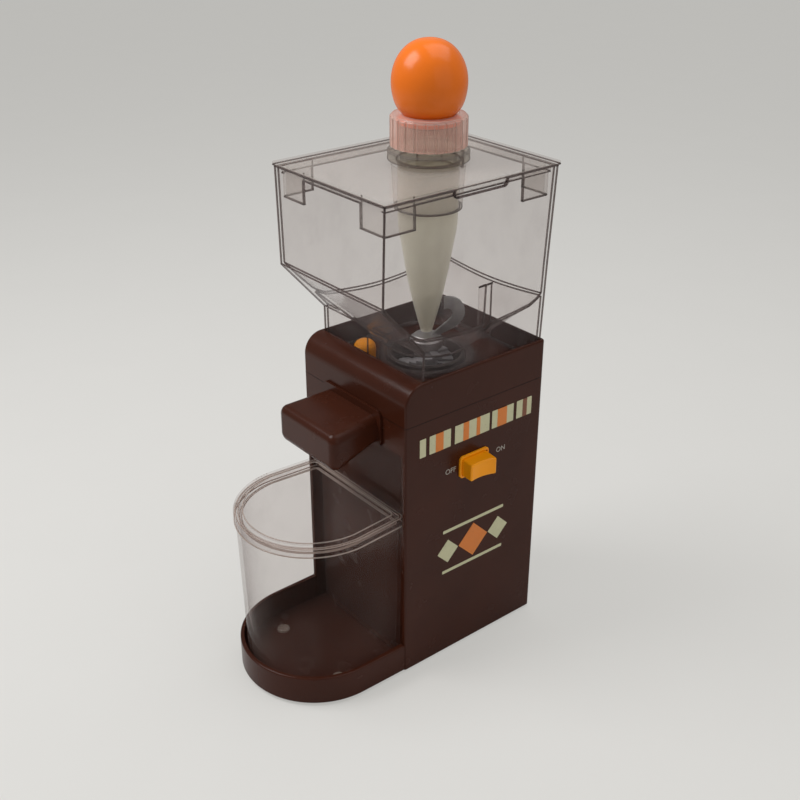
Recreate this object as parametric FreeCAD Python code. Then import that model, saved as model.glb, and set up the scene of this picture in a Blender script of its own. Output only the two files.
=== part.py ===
"""Upright electric peanut grinder: a brown two-part housing with a motor, gearbox and burr
grinder inside, a clear hopper with a lid and an oil dropper above, and a jar on a tray in front.

All sizes are millimetres. The model is drawn with X across the housing's middle plane, Y = 0 at
its front face, Y growing to the rear, and Z = 0 on the table. main() then moves every piece alike,
so that the origin is the centre of the whole object's box, on the table.
"""
import FreeCAD, Part
import math
import os

V = FreeCAD.Vector
UP = V(0, 0, 1)

# Housing
body_width = 93.7
body_depth = 104.6
deck_top = 176.5
deck_thickness = 2.2
rim_height = 13.5
seam_drop = 10.5
base_underside = 1.5
body_wall = 2.4
front_edge = 1.2
rear_edge = 2.2
shoulder_depth = 13.2
shoulder_radius = 12.0
rim_wall = 1.85
rim_corner = 0.9
niche_depth = 7.5
niche_side = 3.3
niche_edge = 0.9
niche_cover = 3.0
seam_lip = 3.0
seam_lip_wall = 1.7
seam_ledge = 3.15
seam_post_radius = 3.4
base_boss_radius = 4.6
base_boss_top = 26.0

# Gaps: between pieces that move or lift apart, and between pieces that are nested and stay
lift_gap = 0.3
nest_gap = 0.15
spin_gap = 0.05

# Base and tray
base_thickness = 2.5
base_pad = 1.5
tray_inset = 0.35
tray_centre_y = -30.0
tray_rim_z = 20.0
tray_wall = 2.3
foot_radius = 6.0
foot_height = 3.0
vent_count = 7
vent_pitch = 6.5
vent_width = 2.5

# Jar and its lid
jar_inset = 2.2
jar_taper = 2.4
jar_wall = 2.0
jar_floor = 2.4
jar_rear_y = 3.6
jar_side_gap = 1.55
jar_top = 107.6
jar_lid_rise = 1.4
jar_lid_overhang = 1.0
jar_lid_skirt = 6.6
jar_lid_inset = 5.6
jar_lid_dish = 2.0
jar_plug_wall = 1.6
pad_radius = 3.9
pad_height = 1.0

# Spout cover and chute, whose heights are counted from the chute's lower or upper face
spout_reach = 33.4
spout_root_half = 24.2
spout_tip_half = 26.8
spout_root_drop = 2.6
spout_tip_drop = 11.4
spout_root_rise = 3.6
spout_tip_rise = 2.0
spout_corner = 5.5
spout_nose = 4.6
spout_wall = 1.9
spout_flange_half = 26.8
spout_flange_drop = 4.6
spout_flange_rise = 7.6
spout_flange_thickness = 1.3
spout_mouth_half = 15.0
chute_half = 12.0
chute_drop = 2.0
chute_height = 10.4
chute_wall = 1.6
chute_reach = 21.0

# Grinder
collar_radius = 22.7
collar_bore = 20.4
collar_rise = 4.5
chamber_radius = 26.0
chamber_depth = 23.5
chamber_floor_thickness = 4.0
chamber_flange_radius = 31.0
chamber_flange_thickness = 2.4
bush_radius = 6.5
shaft_radius = 4.0
burr_lift = 2.5
burr_height = 11.5
burr_gap = 0.5
burr_foot_radius = 16.6
burr_waist_radius = 15.6
burr_mouth_radius = 14.4
burr_foot_height = 3.0
auger_radius = 16.0
auger_core = 7.0
hub_radius = 9.5
hub_rise = 14.8
hub_length = 7.0
hook_thickness = 2.4
hook_turn = 50.75

# Gearbox: both stages have the same centre distance
gear_module = 0.8
pinion_teeth = 12
wheel_teeth = 48
backlash = 0.16
plate_drop = 17.0
gear_plate_thickness = 3.0
tub_depth = 24.0
tub_wall = 2.0
tub_floor = 2.5
tub_rear_gap = 1.4
layshaft_radius = 2.0
pillar_inset = 8.45
pillar_front_reach = 26.0
pillar_rear_reach = 28.0
pillar_radius = 4.0
first_stage_rise = 5.5
first_stage_width = 6.0
second_stage_rise = 13.5
second_stage_width = 6.5

# Motor
motor_radius = 23.0
motor_length = 62.0
motor_wall = 1.5
motor_shaft_radius = 2.5
motor_screw_x = 8.0
stack_radius = 17.4
stack_low = 14.0
stack_high = 50.0
fan_radius = 20.0
end_cap_height = 6.0

# Rocker switch on the right-hand panel
switch_y = 50.5
switch_z = 128.0
bezel_length = 22.0
bezel_height = 14.0
bezel_thickness = 1.5
bezel_lap_y = 1.2
bezel_lap_z = 1.0
sleeve_depth = 10.0
cap_length = 18.6
cap_height = 10.4
cap_proud = 9.7
cap_hollow = 1.7
cap_tilt = 6.0
pivot_depth = 1.8
pivot_radius = 1.2

# Hopper, lid and dropper, whose heights are counted from the deck
hopper_wall = 2.0
hopper_height = 116.0
hopper_overhang = 0.55
knee_height = 60.5
knee_inset = 1.25
skirt_gap = 0.6
skirt_rear_gap = 0.45
skirt_front_y = 13.7
hopper_front_y = -14.2
hopper_rear_overhang = 0.8
hopper_rear_inset = 1.2
spigot_bore = 23.2
spigot_wall = 2.2
spigot_height = 11.5
spigot_foot_radius = 28.3
spigot_foot_height = 2.5
lug_half = 5.8
lug_height = 23.0
lug_thickness = 2.6
post_inset = 4.6
post_reach = 6.5
post_radius = 3.6
post_height = 58.5
post_slant = 30.0
notch_front_y = 32.0
notch_rear_y = 68.0
notch_depth = 4.2
lid_thickness = 2.0
lid_overhang = 1.25
lid_front_overhang = 0.9
lid_rear_overhang = 1.2
lid_lip_depth = 4.0
lid_lip_wall = 1.3
lid_fit_gap = 0.4
lid_tab_depth = 17.0
lid_tab_leg = 20.0
lid_tab_thickness = 1.6
socket_bore = 17.1
socket_top_radius = 20.5
socket_foot_radius = 19.0
socket_depth = 24.5
dropper_flange_radius = 22.4
dropper_flange_height = 5.2
vial_radius = 16.6
vial_wall = 1.2
vial_tip_height = 17.1
vial_tip_bore = 0.7
neck_radius = 17.5
neck_wall = 1.6
neck_height = 13.8
collar_cap_radius = 21.0
collar_cap_height = 16.5
collar_cap_lift = 2.0
collar_cap_roof = 2.4
collar_cap_flutes = 24
bulb_height = 38.4
bulb_radius = 20.3
bulb_neck_radius = 13.9
bulb_wall = 1.8

# Release button beside the hopper's front lug
button_x = -21.5
button_reach = 28.5
button_radius = 6.5
button_rise = 12.1
button_head = 0.9
button_head_height = 3.0
button_travel = 3.0
spring_wire = 0.35
spring_radius = 3.0
spring_turns = 3
spring_seat_drop = 1.0

# Screws and other small pieces
screw_radius = 1.5
screw_head_radius = 2.9
screw_head = 1.4
screw_pocket = 1.6
base_screw_inset = 4.45
seam_screw_inset = 4.95
gland_x = -24.0
gland_z = 20.0
gland_radius = 6.4
lead_radius = 3.1
board_half = 18.0
board_low = 62.0
board_height = 30.0

# Places worked out from the sizes above
half_width = body_width / 2
inner_half = half_width - body_wall
inner_rear = body_depth - body_wall
niche_inner_half = half_width - niche_side
niche_back = niche_depth + body_wall
base_top = base_underside + base_thickness
base_pad_top = base_top + base_pad
tray_radius = half_width - tray_inset
jar_radius = tray_radius - jar_inset
jar_rear_half = niche_inner_half - jar_side_gap
jar_lid_top = jar_top + jar_lid_rise
jar_lid_radius = jar_radius + jar_lid_overhang
jar_lid_rear_half = jar_rear_half + jar_lid_overhang
jar_lid_rear_y = jar_rear_y + jar_lid_overhang
body_top = deck_top + rim_height
seam_z = deck_top - seam_drop
deck_under = deck_top - deck_thickness
collar_top = deck_top + collar_rise
hub_top = deck_top + hub_rise
chamber_floor = deck_top - chamber_depth
burr_bottom = chamber_floor + burr_lift
burr_top = burr_bottom + burr_height
chute_bottom = chamber_floor - chute_drop
chute_top = chute_bottom + chute_height
niche_top = chute_bottom - niche_cover
gear_plate_z = chamber_floor - plate_drop
gear_plate_top = gear_plate_z + gear_plate_thickness
tub_floor_z = gear_plate_z - tub_depth
first_stage_z = tub_floor_z + first_stage_rise
second_stage_z = tub_floor_z + second_stage_rise
motor_shaft_top = first_stage_z + first_stage_width + 0.8
centre_distance = gear_module * (pinion_teeth + wheel_teeth) / 2
tub_reach = gear_module * wheel_teeth / 2 + gear_module + 0.8 + tub_wall
layshaft_y = inner_rear - tub_rear_gap - tub_reach
axis_y = layshaft_y - centre_distance
pillar_x = inner_half - pillar_inset
pillar_front_y = axis_y - pillar_front_reach
pillar_rear_y = axis_y + pillar_rear_reach
hopper_top = deck_top + hopper_height
hopper_top_half = half_width + hopper_overhang
hopper_knee_half = half_width - knee_inset
hopper_knee_z = deck_top + knee_height
hopper_rear_top_y = body_depth + hopper_rear_overhang
hopper_rear_knee_y = body_depth - hopper_rear_inset
skirt_half = half_width - rim_wall - skirt_gap
skirt_rear_y = body_depth - rim_wall - skirt_rear_gap
funnel_start_z = deck_top + spigot_height
funnel_rise = (hopper_knee_z - funnel_start_z) / (
    axis_y - hopper_front_y - spigot_bore - spigot_wall)
lug_top = deck_top + lug_height
post_x = hopper_knee_half - post_inset
post_y = axis_y + post_reach
post_top = deck_top + post_height
lid_half = hopper_top_half + lid_overhang
lid_front_y = hopper_front_y - lid_front_overhang
lid_rear_y = hopper_rear_top_y + lid_rear_overhang
lid_under = hopper_top + lift_gap
lid_top = lid_under + lid_thickness
socket_foot_z = hopper_top - socket_depth
flange_under = lid_top + lift_gap
flange_top = flange_under + dropper_flange_height
neck_top = flange_top + neck_height
collar_cap_top = flange_top + collar_cap_lift + collar_cap_height
vial_tip_z = deck_top + vial_tip_height
bulb_top = collar_cap_top + bulb_height
button_y = axis_y - button_reach
button_top = deck_top + button_rise
spring_seat = seam_z - spring_seat_drop
seam_post_foot = seam_z - 6.7
cap_arm = pivot_depth + bezel_thickness + cap_proud


def box(x0, x1, y0, y1, z0, z1):
    """Box between two corners."""
    return Part.makeBox(x1 - x0, y1 - y0, z1 - z0, V(x0, y0, z0))


def level(z0, z1):
    """Block far wider than the object between two heights, to keep or cut a layer with."""
    reach = body_width + body_depth
    return box(-reach, reach, -reach, reach, z0, z1)


def rod(radius, z0, z1, x=0.0, y=0.0):
    """Upright solid cylinder."""
    return Part.makeCylinder(radius, z1 - z0, V(x, y, z0))


def tube(outer, inner, z0, z1, x=0.0, y=0.0):
    """Upright hollow cylinder."""
    return rod(outer, z0, z1, x, y).cut(rod(inner, z0 - 1, z1 + 1, x, y))


def turned(points, x=0.0, y=0.0):
    """Solid turned about an upright axis from a closed outline of (radius, z) points."""
    wire = Part.makePolygon([V(x + r, y, z) for r, z in points + points[:1]])
    return Part.Face(wire).revolve(V(x, y, 0), UP, 360)


def plate(points, z0, z1):
    """Flat plate from a closed outline of (x, y) points."""
    wire = Part.makePolygon([V(x, y, z0) for x, y in points + points[:1]])
    return Part.Face(wire).extrude(V(0, 0, z1 - z0))


def side_profile(points, half):
    """Prism across X from a closed outline of (y, z) points."""
    wire = Part.makePolygon([V(-half, y, z) for y, z in points + points[:1]])
    return Part.Face(wire).extrude(V(2 * half, 0, 0))


def front_profile(points, y0, y1):
    """Prism along Y from a closed outline of (x, z) points."""
    wire = Part.makePolygon([V(x, y0, z) for x, z in points + points[:1]])
    return Part.Face(wire).extrude(V(0, y1 - y0, 0))


def fused(shapes, merge_faces=True):
    """One solid from touching shapes, its flat faces merged unless told to leave them."""
    whole = shapes[0]
    for shape in shapes[1:]:
        whole = whole.fuse(shape)
    return whole.removeSplitter() if merge_faces else whole


def group(shapes):
    """Separate solids kept together in one node."""
    return Part.makeCompound(shapes)


def edges_where(shape, test):
    """Edges whose middle point and direction pass a test."""
    found = []
    for edge in shape.Edges:
        middle = edge.valueAt((edge.FirstParameter + edge.LastParameter) / 2)
        direction = edge.tangentAt((edge.FirstParameter + edge.LastParameter) / 2)
        if test(middle, direction):
            found.append(edge)
    return found


def upright_edges(shape, test=None):
    """Straight vertical edges of a shape, narrowed by a test of their middle point."""
    return edges_where(shape, lambda m, d: abs(d.z) > 0.999 and (test is None or test(m)))


def rounded_box(x0, x1, y0, y1, z0, z1, radius):
    """Box with rounded upright edges."""
    block = box(x0, x1, y0, y1, z0, z1)
    return block.makeFillet(radius, upright_edges(block))


def rounded_rectangle(half_x, z0, z1, corner, y):
    """Closed wire, a rounded rectangle standing across X at a given Y."""
    arc = corner * (1 - math.sqrt(0.5))
    corners = []
    for sx, sz, zc in ((1, 1, z1), (1, -1, z0), (-1, -1, z0), (-1, 1, z1)):
        corners.append((V(sx * half_x, y, zc - sz * corner),
                        V(sx * (half_x - arc), y, zc - sz * arc),
                        V(sx * (half_x - corner), y, zc)))
    right_top, right_low, left_low, left_top = corners
    edges = [Part.LineSegment(left_top[2], right_top[2]).toShape(),
             Part.Arc(right_top[2], right_top[1], right_top[0]).toShape(),
             Part.LineSegment(right_top[0], right_low[0]).toShape(),
             Part.Arc(right_low[0], right_low[1], right_low[2]).toShape(),
             Part.LineSegment(right_low[2], left_low[2]).toShape(),
             Part.Arc(left_low[2], left_low[1], left_low[0]).toShape(),
             Part.LineSegment(left_low[0], left_top[0]).toShape(),
             Part.Arc(left_top[0], left_top[1], left_top[2]).toShape()]
    return Part.Wire(edges)


def screw(x, y, z, length, head_down=True):
    """Pan-head screw with its thread pointing up, or down if head_down is False."""
    sign = 1 if head_down else -1
    shank = Part.makeCylinder(screw_radius, length, V(x, y, z), V(0, 0, sign))
    head = Part.makeCylinder(screw_head_radius, screw_head, V(x, y, z), V(0, 0, -sign))
    return shank.fuse(head)


def centring_move(shapes):
    """Move that brings the centre of the shapes' common box over the origin."""
    boxes = [shape.optimalBoundingBox() for shape in shapes]
    middle_x = (min(b.XMin for b in boxes) + max(b.XMax for b in boxes)) / 2
    middle_y = (min(b.YMin for b in boxes) + max(b.YMax for b in boxes)) / 2
    return V(-middle_x, -middle_y, 0)


# Housing

def housing_outline(z0, z1):
    """Solid block of the housing's outer shape between two heights."""
    block = box(-half_width, half_width, 0, body_depth, z0, z1)
    block = block.makeFillet(front_edge, upright_edges(block, lambda m: m.y < 1))
    return block.makeFillet(rear_edge, upright_edges(block, lambda m: m.y > body_depth - 1))


def shoulder_block():
    """Solid of the upper housing: upright rear, and a front that rounds over into the top."""
    radius = shoulder_radius
    middle = radius * (1 - math.sqrt(0.5))
    low = V(-half_width, 0, seam_z)
    start = V(-half_width, 0, body_top - radius)
    bend = V(-half_width, middle, body_top - middle)
    crest = V(-half_width, radius, body_top)
    rear = V(-half_width, body_depth, body_top)
    foot = V(-half_width, body_depth, seam_z)
    edges = [Part.LineSegment(low, start).toShape(), Part.Arc(start, bend, crest).toShape(),
             Part.LineSegment(crest, rear).toShape(), Part.LineSegment(rear, foot).toShape(),
             Part.LineSegment(foot, low).toShape()]
    block = Part.Face(Part.Wire(edges)).extrude(V(body_width, 0, 0))
    block = block.makeFillet(rear_edge, upright_edges(block, lambda m: m.y > body_depth - 1))
    return block.makeFillet(front_edge, upright_edges(block, lambda m: m.y < 1))


def upper_housing():
    """Top moulding: rounded front shoulder, thin rim, and the deck that carries the grinder."""
    block = shoulder_block()
    recess = rounded_box(-half_width + rim_wall, half_width - rim_wall, shoulder_depth,
                         body_depth - rim_wall, deck_top, body_top + 1, rim_corner)
    shell = block.cut(recess)
    below = box(-inner_half, inner_half, body_wall, inner_rear, seam_z - 1, deck_under)
    hollow = box(-inner_half, inner_half, body_wall, body_depth, seam_z - 1, body_top - body_wall)
    hollow_edge = edges_where(hollow, lambda m, d: abs(d.x) > 0.999 and m.y < body_wall + 0.1
                              and m.z > body_top - body_wall - 0.1)
    hollow = hollow.makeFillet(shoulder_radius - body_wall, hollow_edge)
    hollow = hollow.common(box(-inner_half, inner_half, 0, shoulder_depth - body_wall, 0, body_top))
    shell = shell.cut(below).cut(hollow)
    slot = box(-lug_half - lift_gap, lug_half + lift_gap, skirt_front_y + hopper_wall - lift_gap,
               skirt_front_y + hopper_wall + lug_thickness + lift_gap, deck_under - 1, deck_top + 1)
    shell = shell.cut(slot)
    shell = shell.cut(rod(collar_radius + nest_gap, deck_under - 1, deck_top + 1, 0, axis_y))
    shell = shell.cut(rod(button_radius + lift_gap, deck_under - 1, deck_top + 1,
                          button_x, button_y))
    lip_half = inner_half - nest_gap
    lip = box(-lip_half, lip_half, body_wall + nest_gap, inner_rear - nest_gap,
              seam_z - seam_lip, seam_z + 1.5)
    lip_bore = box(-lip_half + seam_lip_wall, lip_half - seam_lip_wall,
                   body_wall + nest_gap + seam_lip_wall, inner_rear - nest_gap - seam_lip_wall,
                   seam_z - seam_lip - 1, seam_z + 3)
    lip = lip.cut(lip_bore)
    lip_keeper = box(-half_width, half_width, body_wall, inner_rear, seam_z, seam_z + 1.5)
    lip = lip.cut(box(-chute_half - 3, chute_half + 3, -1, body_wall + 2, seam_z - 9, seam_z))
    frame = lip_keeper.cut(lip_bore).common(housing_outline(seam_z, body_top))
    pieces = [shell, lip, frame]
    for x, y in pillar_places():
        pieces.append(tube(pillar_radius, screw_radius, gear_plate_top, deck_under + 0.5, x, y))
    for x, y in seam_screw_places():
        pieces.append(tube(seam_post_radius, screw_radius, seam_post_foot, deck_under + 0.5, x, y))
    return fused(pieces, merge_faces=False)


def pillar_places():
    """The four places where pillars under the deck carry the gearbox's plate."""
    return [(x, y) for x in (-pillar_x, pillar_x) for y in (pillar_front_y, pillar_rear_y)]


def seam_screw_places():
    """The four places where screws pull the two housing mouldings together."""
    x = inner_half - seam_screw_inset
    return [(sx * x, y) for sx in (-1, 1) for y in (14.5, inner_rear - 5.5)]


def base_screw_places():
    """The four places where screws hold the base under the lower housing."""
    x = inner_half - base_screw_inset
    return [(sx * x, y) for sx in (-1, 1) for y in (16.0, inner_rear - 6.2)]


def lower_housing():
    """Tall moulding with the jar niche in front, the switch window and the screw bosses."""
    block = housing_outline(base_underside, seam_z)
    niche = box(-niche_inner_half, niche_inner_half, -1, niche_depth, 0, niche_top)
    block = block.cut(niche)
    cavity = box(-inner_half, inner_half, niche_back, inner_rear, 0, seam_z + 1)
    throat = box(-inner_half, inner_half, body_wall, niche_back + 1, niche_top + body_wall,
                 seam_z + 1)
    block = block.cut(cavity).cut(throat)
    block = block.cut(box(-niche_inner_half, niche_inner_half, 0, niche_back + 1,
                          0, base_top + nest_gap))
    front_edges = upright_edges(block, lambda m: m.y < 0.1 and abs(m.x) < half_width - 2)
    block = block.makeFillet(niche_edge, front_edges)
    pieces = [block]
    for x, y in base_screw_places():
        pieces.append(rod(base_boss_radius, base_pad_top + nest_gap, base_boss_top, x, y))
    for x, y in seam_screw_places():
        x0, x1 = sorted((math.copysign(inner_half - 2 * seam_screw_inset - 0.05, x),
                         math.copysign(inner_half + 0.5, x)))
        ledge_top = seam_post_foot - nest_gap
        pieces.append(box(x0, x1, y - 4.2, y + 4.2, ledge_top - seam_ledge, ledge_top))
    shell = fused(pieces)
    for x, y in base_screw_places():
        shell = shell.cut(rod(screw_radius, 0, base_boss_top - 4, x, y))
    for x, y in seam_screw_places():
        shell = shell.cut(rod(screw_radius + 0.2, seam_post_foot - 5, seam_post_foot + 1, x, y))
    window = box(half_width - 5, half_width + 1, switch_y - bezel_length / 2 + bezel_lap_y,
                 switch_y + bezel_length / 2 - bezel_lap_y,
                 switch_z - bezel_height / 2 + bezel_lap_z,
                 switch_z + bezel_height / 2 - bezel_lap_z)
    chute_window = box(-chute_half - nest_gap, chute_half + nest_gap, -1, body_wall + 1,
                       chute_bottom - nest_gap, chute_top + nest_gap)
    cord_hole = Part.makeCylinder(gland_radius - 1.4, body_wall + 2,
                                  V(gland_x, inner_rear - 1, gland_z), V(0, 1, 0))
    return shell.cut(window).cut(chute_window).cut(cord_hole)


def d_outline(radius, centre_y, rear_y, rear_half, z):
    """Closed D-shaped wire: a half circle in front, tapering sides and a flat rear."""
    front = Part.Arc(V(radius, centre_y, z), V(0, centre_y - radius, z), V(-radius, centre_y, z))
    edges = [front.toShape(),
             Part.LineSegment(V(-radius, centre_y, z), V(-rear_half, rear_y, z)).toShape(),
             Part.LineSegment(V(-rear_half, rear_y, z), V(rear_half, rear_y, z)).toShape(),
             Part.LineSegment(V(rear_half, rear_y, z), V(radius, centre_y, z)).toShape()]
    return Part.Wire(edges)


def d_prism(radius, rear_y, rear_half, z0, z1, centre_y=tray_centre_y):
    """Solid of a D-shaped outline between two heights."""
    return Part.Face(d_outline(radius, centre_y, rear_y, rear_half, z0)).extrude(V(0, 0, z1 - z0))


def base_tray():
    """One moulding: the floor under the housing and the D-shaped tray that holds the jar."""
    gap = nest_gap
    floor = box(-inner_half + gap, inner_half - gap, niche_back + gap, inner_rear - gap,
                base_underside, base_top)
    bridge = box(-niche_inner_half + gap, niche_inner_half - gap, -1, niche_back + 1,
                 base_underside, base_top)
    tray = d_prism(tray_radius, -gap, half_width, base_underside, tray_rim_z)
    tray = tray.makeFillet(1.0, edges_where(tray, lambda m, d: m.z > tray_rim_z - 0.1
                                            and m.y < -gap - 0.1))
    tray = tray.makeFillet(1.4, edges_where(tray, lambda m, d: m.z < base_underside + 0.1
                                            and m.y < -gap - 0.1))
    well = d_prism(tray_radius - tray_wall, 1, niche_inner_half, base_top, tray_rim_z + 1)
    tray = tray.cut(well)
    stop_half = niche_inner_half - 13.55
    stop = box(-stop_half, stop_half, jar_rear_y + 1, niche_depth - 0.6, base_top - 1,
               base_top + pad_height)
    pads = [rod(screw_head_radius + 1.2, base_underside, base_pad_top, x, y)
            for x, y in base_screw_places()]
    base = fused([floor, bridge, tray, stop] + pads)
    for x, y in base_screw_places():
        base = base.cut(rod(screw_radius + 0.2, 0, base_pad_top + 1, x, y))
        base = base.cut(rod(screw_head_radius + 0.3, 0, base_underside + screw_pocket, x, y))
    for x, y in foot_places():
        base = base.cut(rod(foot_radius + nest_gap, 0, foot_height, x, y))
    for x, y in pad_places():
        base = base.cut(rod(pad_radius - 1.2, base_top - 1.2, base_top + 1, x, y))
    for i in range(vent_count):
        x = (i - (vent_count - 1) / 2) * vent_pitch
        base = base.cut(rounded_box(x - vent_width / 2, x + vent_width / 2, axis_y - 16,
                                    axis_y + 16, 0, base_top + 1, vent_width / 2 - 0.05))
    return base


def foot_places():
    """Where the four rubber feet sit."""
    front_x = tray_radius - 16.5
    rear_x = inner_half - 10.45
    front_y = tray_centre_y - 16
    rear_y = inner_rear - 14.2
    return [(-front_x, front_y), (front_x, front_y), (-rear_x, rear_y), (rear_x, rear_y)]


def pad_places():
    """Where the two clear pads sit in the tray's floor."""
    x = tray_radius - 17.5
    return [(-x, tray_centre_y - 6), (x, tray_centre_y - 6)]


def rubber_feet():
    """Four dished feet in the base's pockets."""
    feet = []
    for x, y in foot_places():
        foot = rod(foot_radius, 0, foot_height, x, y)
        foot = foot.makeChamfer(0.6, edges_where(foot, lambda m, d: m.z < 0.01))
        feet.append(foot.cut(rod(2.0, -1, 1.0, x, y)))
    return group(feet)


def tray_pads():
    """Two clear pads that the jar stands on, each with a peg in the tray's floor."""
    pads = []
    for x, y in pad_places():
        pad = rod(pad_radius, base_top, base_top + pad_height, x, y)
        pad = pad.makeFillet(0.5, edges_where(pad, lambda m, d: m.z > base_top + pad_height - 0.1))
        pads.append(pad.fuse(rod(pad_radius - 1.3, base_top - 1.1, base_top + 0.2, x, y)))
    return group(pads)


# Jar

def jar():
    """Clear D-shaped jar that narrows a little towards its floor."""
    floor_z = base_top + pad_height + lift_gap
    narrow = jar_taper

    def body(inset, z0, z1):
        low = d_outline(jar_radius - narrow - inset, tray_centre_y, jar_rear_y - inset,
                        jar_rear_half - narrow - inset, z0)
        high = d_outline(jar_radius - inset, tray_centre_y, jar_rear_y - inset,
                         jar_rear_half - inset, z1)
        return Part.makeLoft([low, high], True, True)

    outer = body(0, floor_z, jar_top)
    inner = body(jar_wall, floor_z + jar_floor, jar_top + 0.05)
    rear = edges_where(outer, lambda m, d: abs(d.z) > 0.9 and m.y > jar_rear_y - 1)
    outer = outer.makeFillet(4.0, rear)
    outer = outer.makeFillet(2.0, edges_where(outer, lambda m, d: m.z < floor_z + 0.1))
    rear = edges_where(inner, lambda m, d: abs(d.z) > 0.9 and m.y > jar_rear_y - jar_wall - 1)
    inner = inner.makeFillet(2.4, rear)
    return outer.cut(inner)


def jar_lid():
    """Clear push-on lid with a raised border, a dished middle and a plug rim inside the jar."""
    under = jar_lid_top - jar_lid_skirt
    lid = d_prism(jar_lid_radius, jar_lid_rear_y, jar_lid_rear_half, under, jar_lid_top)
    lid = lid.makeFillet(3.5, edges_where(lid, lambda m, d: abs(d.z) > 0.999
                                          and m.y > jar_lid_rear_y - 1))
    lid = lid.makeFillet(0.9, edges_where(lid, lambda m, d: m.z > jar_lid_top - 0.05))
    dish = d_prism(jar_lid_radius - jar_lid_inset, jar_lid_rear_y - jar_lid_inset,
                   jar_lid_rear_half - jar_lid_inset, jar_lid_top - jar_lid_dish, jar_lid_top + 1)
    dish = dish.makeFillet(3.0, edges_where(dish, lambda m, d: abs(d.z) > 0.999
                                            and m.y > jar_lid_rear_y - jar_lid_inset - 1))
    seat = jar_top + lift_gap
    groove = d_prism(jar_radius + lift_gap, jar_rear_y + lift_gap, jar_rear_half + lift_gap,
                     under - 1, seat)
    plug_inset = jar_wall + lift_gap
    plug = d_prism(jar_radius - plug_inset, jar_rear_y - plug_inset,
                   jar_rear_half - plug_inset, under - 1, seat)
    plug = plug.makeFillet(3.0, edges_where(plug, lambda m, d: abs(d.z) > 0.999
                                            and m.y > jar_rear_y - plug_inset - 1))
    bore_inset = plug_inset + jar_plug_wall
    plug_bore = d_prism(jar_radius - bore_inset, jar_rear_y - bore_inset,
                        jar_rear_half - bore_inset, under - 2, jar_lid_top - jar_lid_dish - 1.8)
    plug_low = plug.common(level(under + 0.8, seat))
    lid = lid.cut(groove).fuse(plug_low).cut(plug_bore).cut(dish)
    return lid.removeSplitter()


# Spout

def spout_section(y, inset):
    """Rounded section of the spout cover at a place along its reach."""
    share = -y / spout_reach
    half = spout_root_half + share * (spout_tip_half - spout_root_half)
    low = chute_bottom - spout_root_drop - share * (spout_tip_drop - spout_root_drop)
    high = chute_top + spout_root_rise + share * (spout_tip_rise - spout_root_rise)
    return rounded_rectangle(half - inset, low + inset, high - inset,
                             spout_corner - inset * 0.6, y)


def spout_cover():
    """Hollow cover that slips over the chute, with a flange on the housing's face."""
    root = -lift_gap - spout_flange_thickness + 0.4
    outer = Part.makeLoft([spout_section(root, 0), spout_section(-spout_reach, 0)], True, True)
    nose = edges_where(outer, lambda m, d: m.y < -spout_reach + 0.1)
    outer = outer.makeFillet(spout_nose, nose)
    inner = Part.makeLoft([spout_section(1, spout_wall),
                           spout_section(-spout_reach + spout_wall, spout_wall)], True, True)
    flange = front_block(spout_flange_half, chute_bottom - spout_flange_drop,
                         chute_top + spout_flange_rise, 4.0, -lift_gap - spout_flange_thickness,
                         -lift_gap)
    mouth = rounded_box(-spout_mouth_half, spout_mouth_half, -spout_reach + 6, -8,
                        chute_bottom - spout_tip_drop - 5, chute_bottom + 1, 4)
    fit = box(-chute_half - lift_gap, chute_half + lift_gap, -spout_flange_thickness - 1, 1,
              chute_bottom - lift_gap, chute_top + lift_gap)
    back_plate = front_block(spout_root_half - 0.5, chute_bottom - spout_root_drop + 0.5,
                             chute_top + spout_root_rise - 0.5, spout_corner,
                             -lift_gap - spout_flange_thickness, -lift_gap)
    return fused([outer.cut(inner), flange, back_plate]).cut(mouth).cut(fit)


def front_block(half, z0, z1, corner, y0, y1):
    """Upright slab facing forward with rounded corners."""
    return Part.Face(rounded_rectangle(half, z0, z1, corner, y0)).extrude(V(0, y1 - y0, 0))


def discharge_chute():
    """Open-ended duct from the grinding chamber's port through the housing's front."""
    start = axis_y - chamber_radius + 1.2
    outer = box(-chute_half, chute_half, -chute_reach, start, chute_bottom, chute_top)
    bore = box(-chute_half + chute_wall, chute_half - chute_wall, -chute_reach - 1, start + 1,
               chute_bottom + chute_wall, chute_top - chute_wall)
    duct = outer.cut(bore)
    lip = box(-chute_half - 1, chute_half + 1, -chute_reach - 1, -chute_reach + 9,
              chute_bottom + 4.5, chute_top + 1)
    duct = duct.cut(lip)
    collar = box(-chute_half - 2.4, chute_half + 2.4, body_wall + nest_gap, body_wall + 2.4,
                 chute_bottom - 0.2, chute_top + 2.0)
    collar = collar.cut(box(-chute_half + 1, chute_half - 1, 0, 10, chute_bottom + 1,
                            chute_top - 1))
    duct = duct.fuse(collar)
    return duct.cut(rod(chamber_radius + nest_gap, niche_top, deck_top, 0, axis_y)).removeSplitter()


# Grinder

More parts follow.
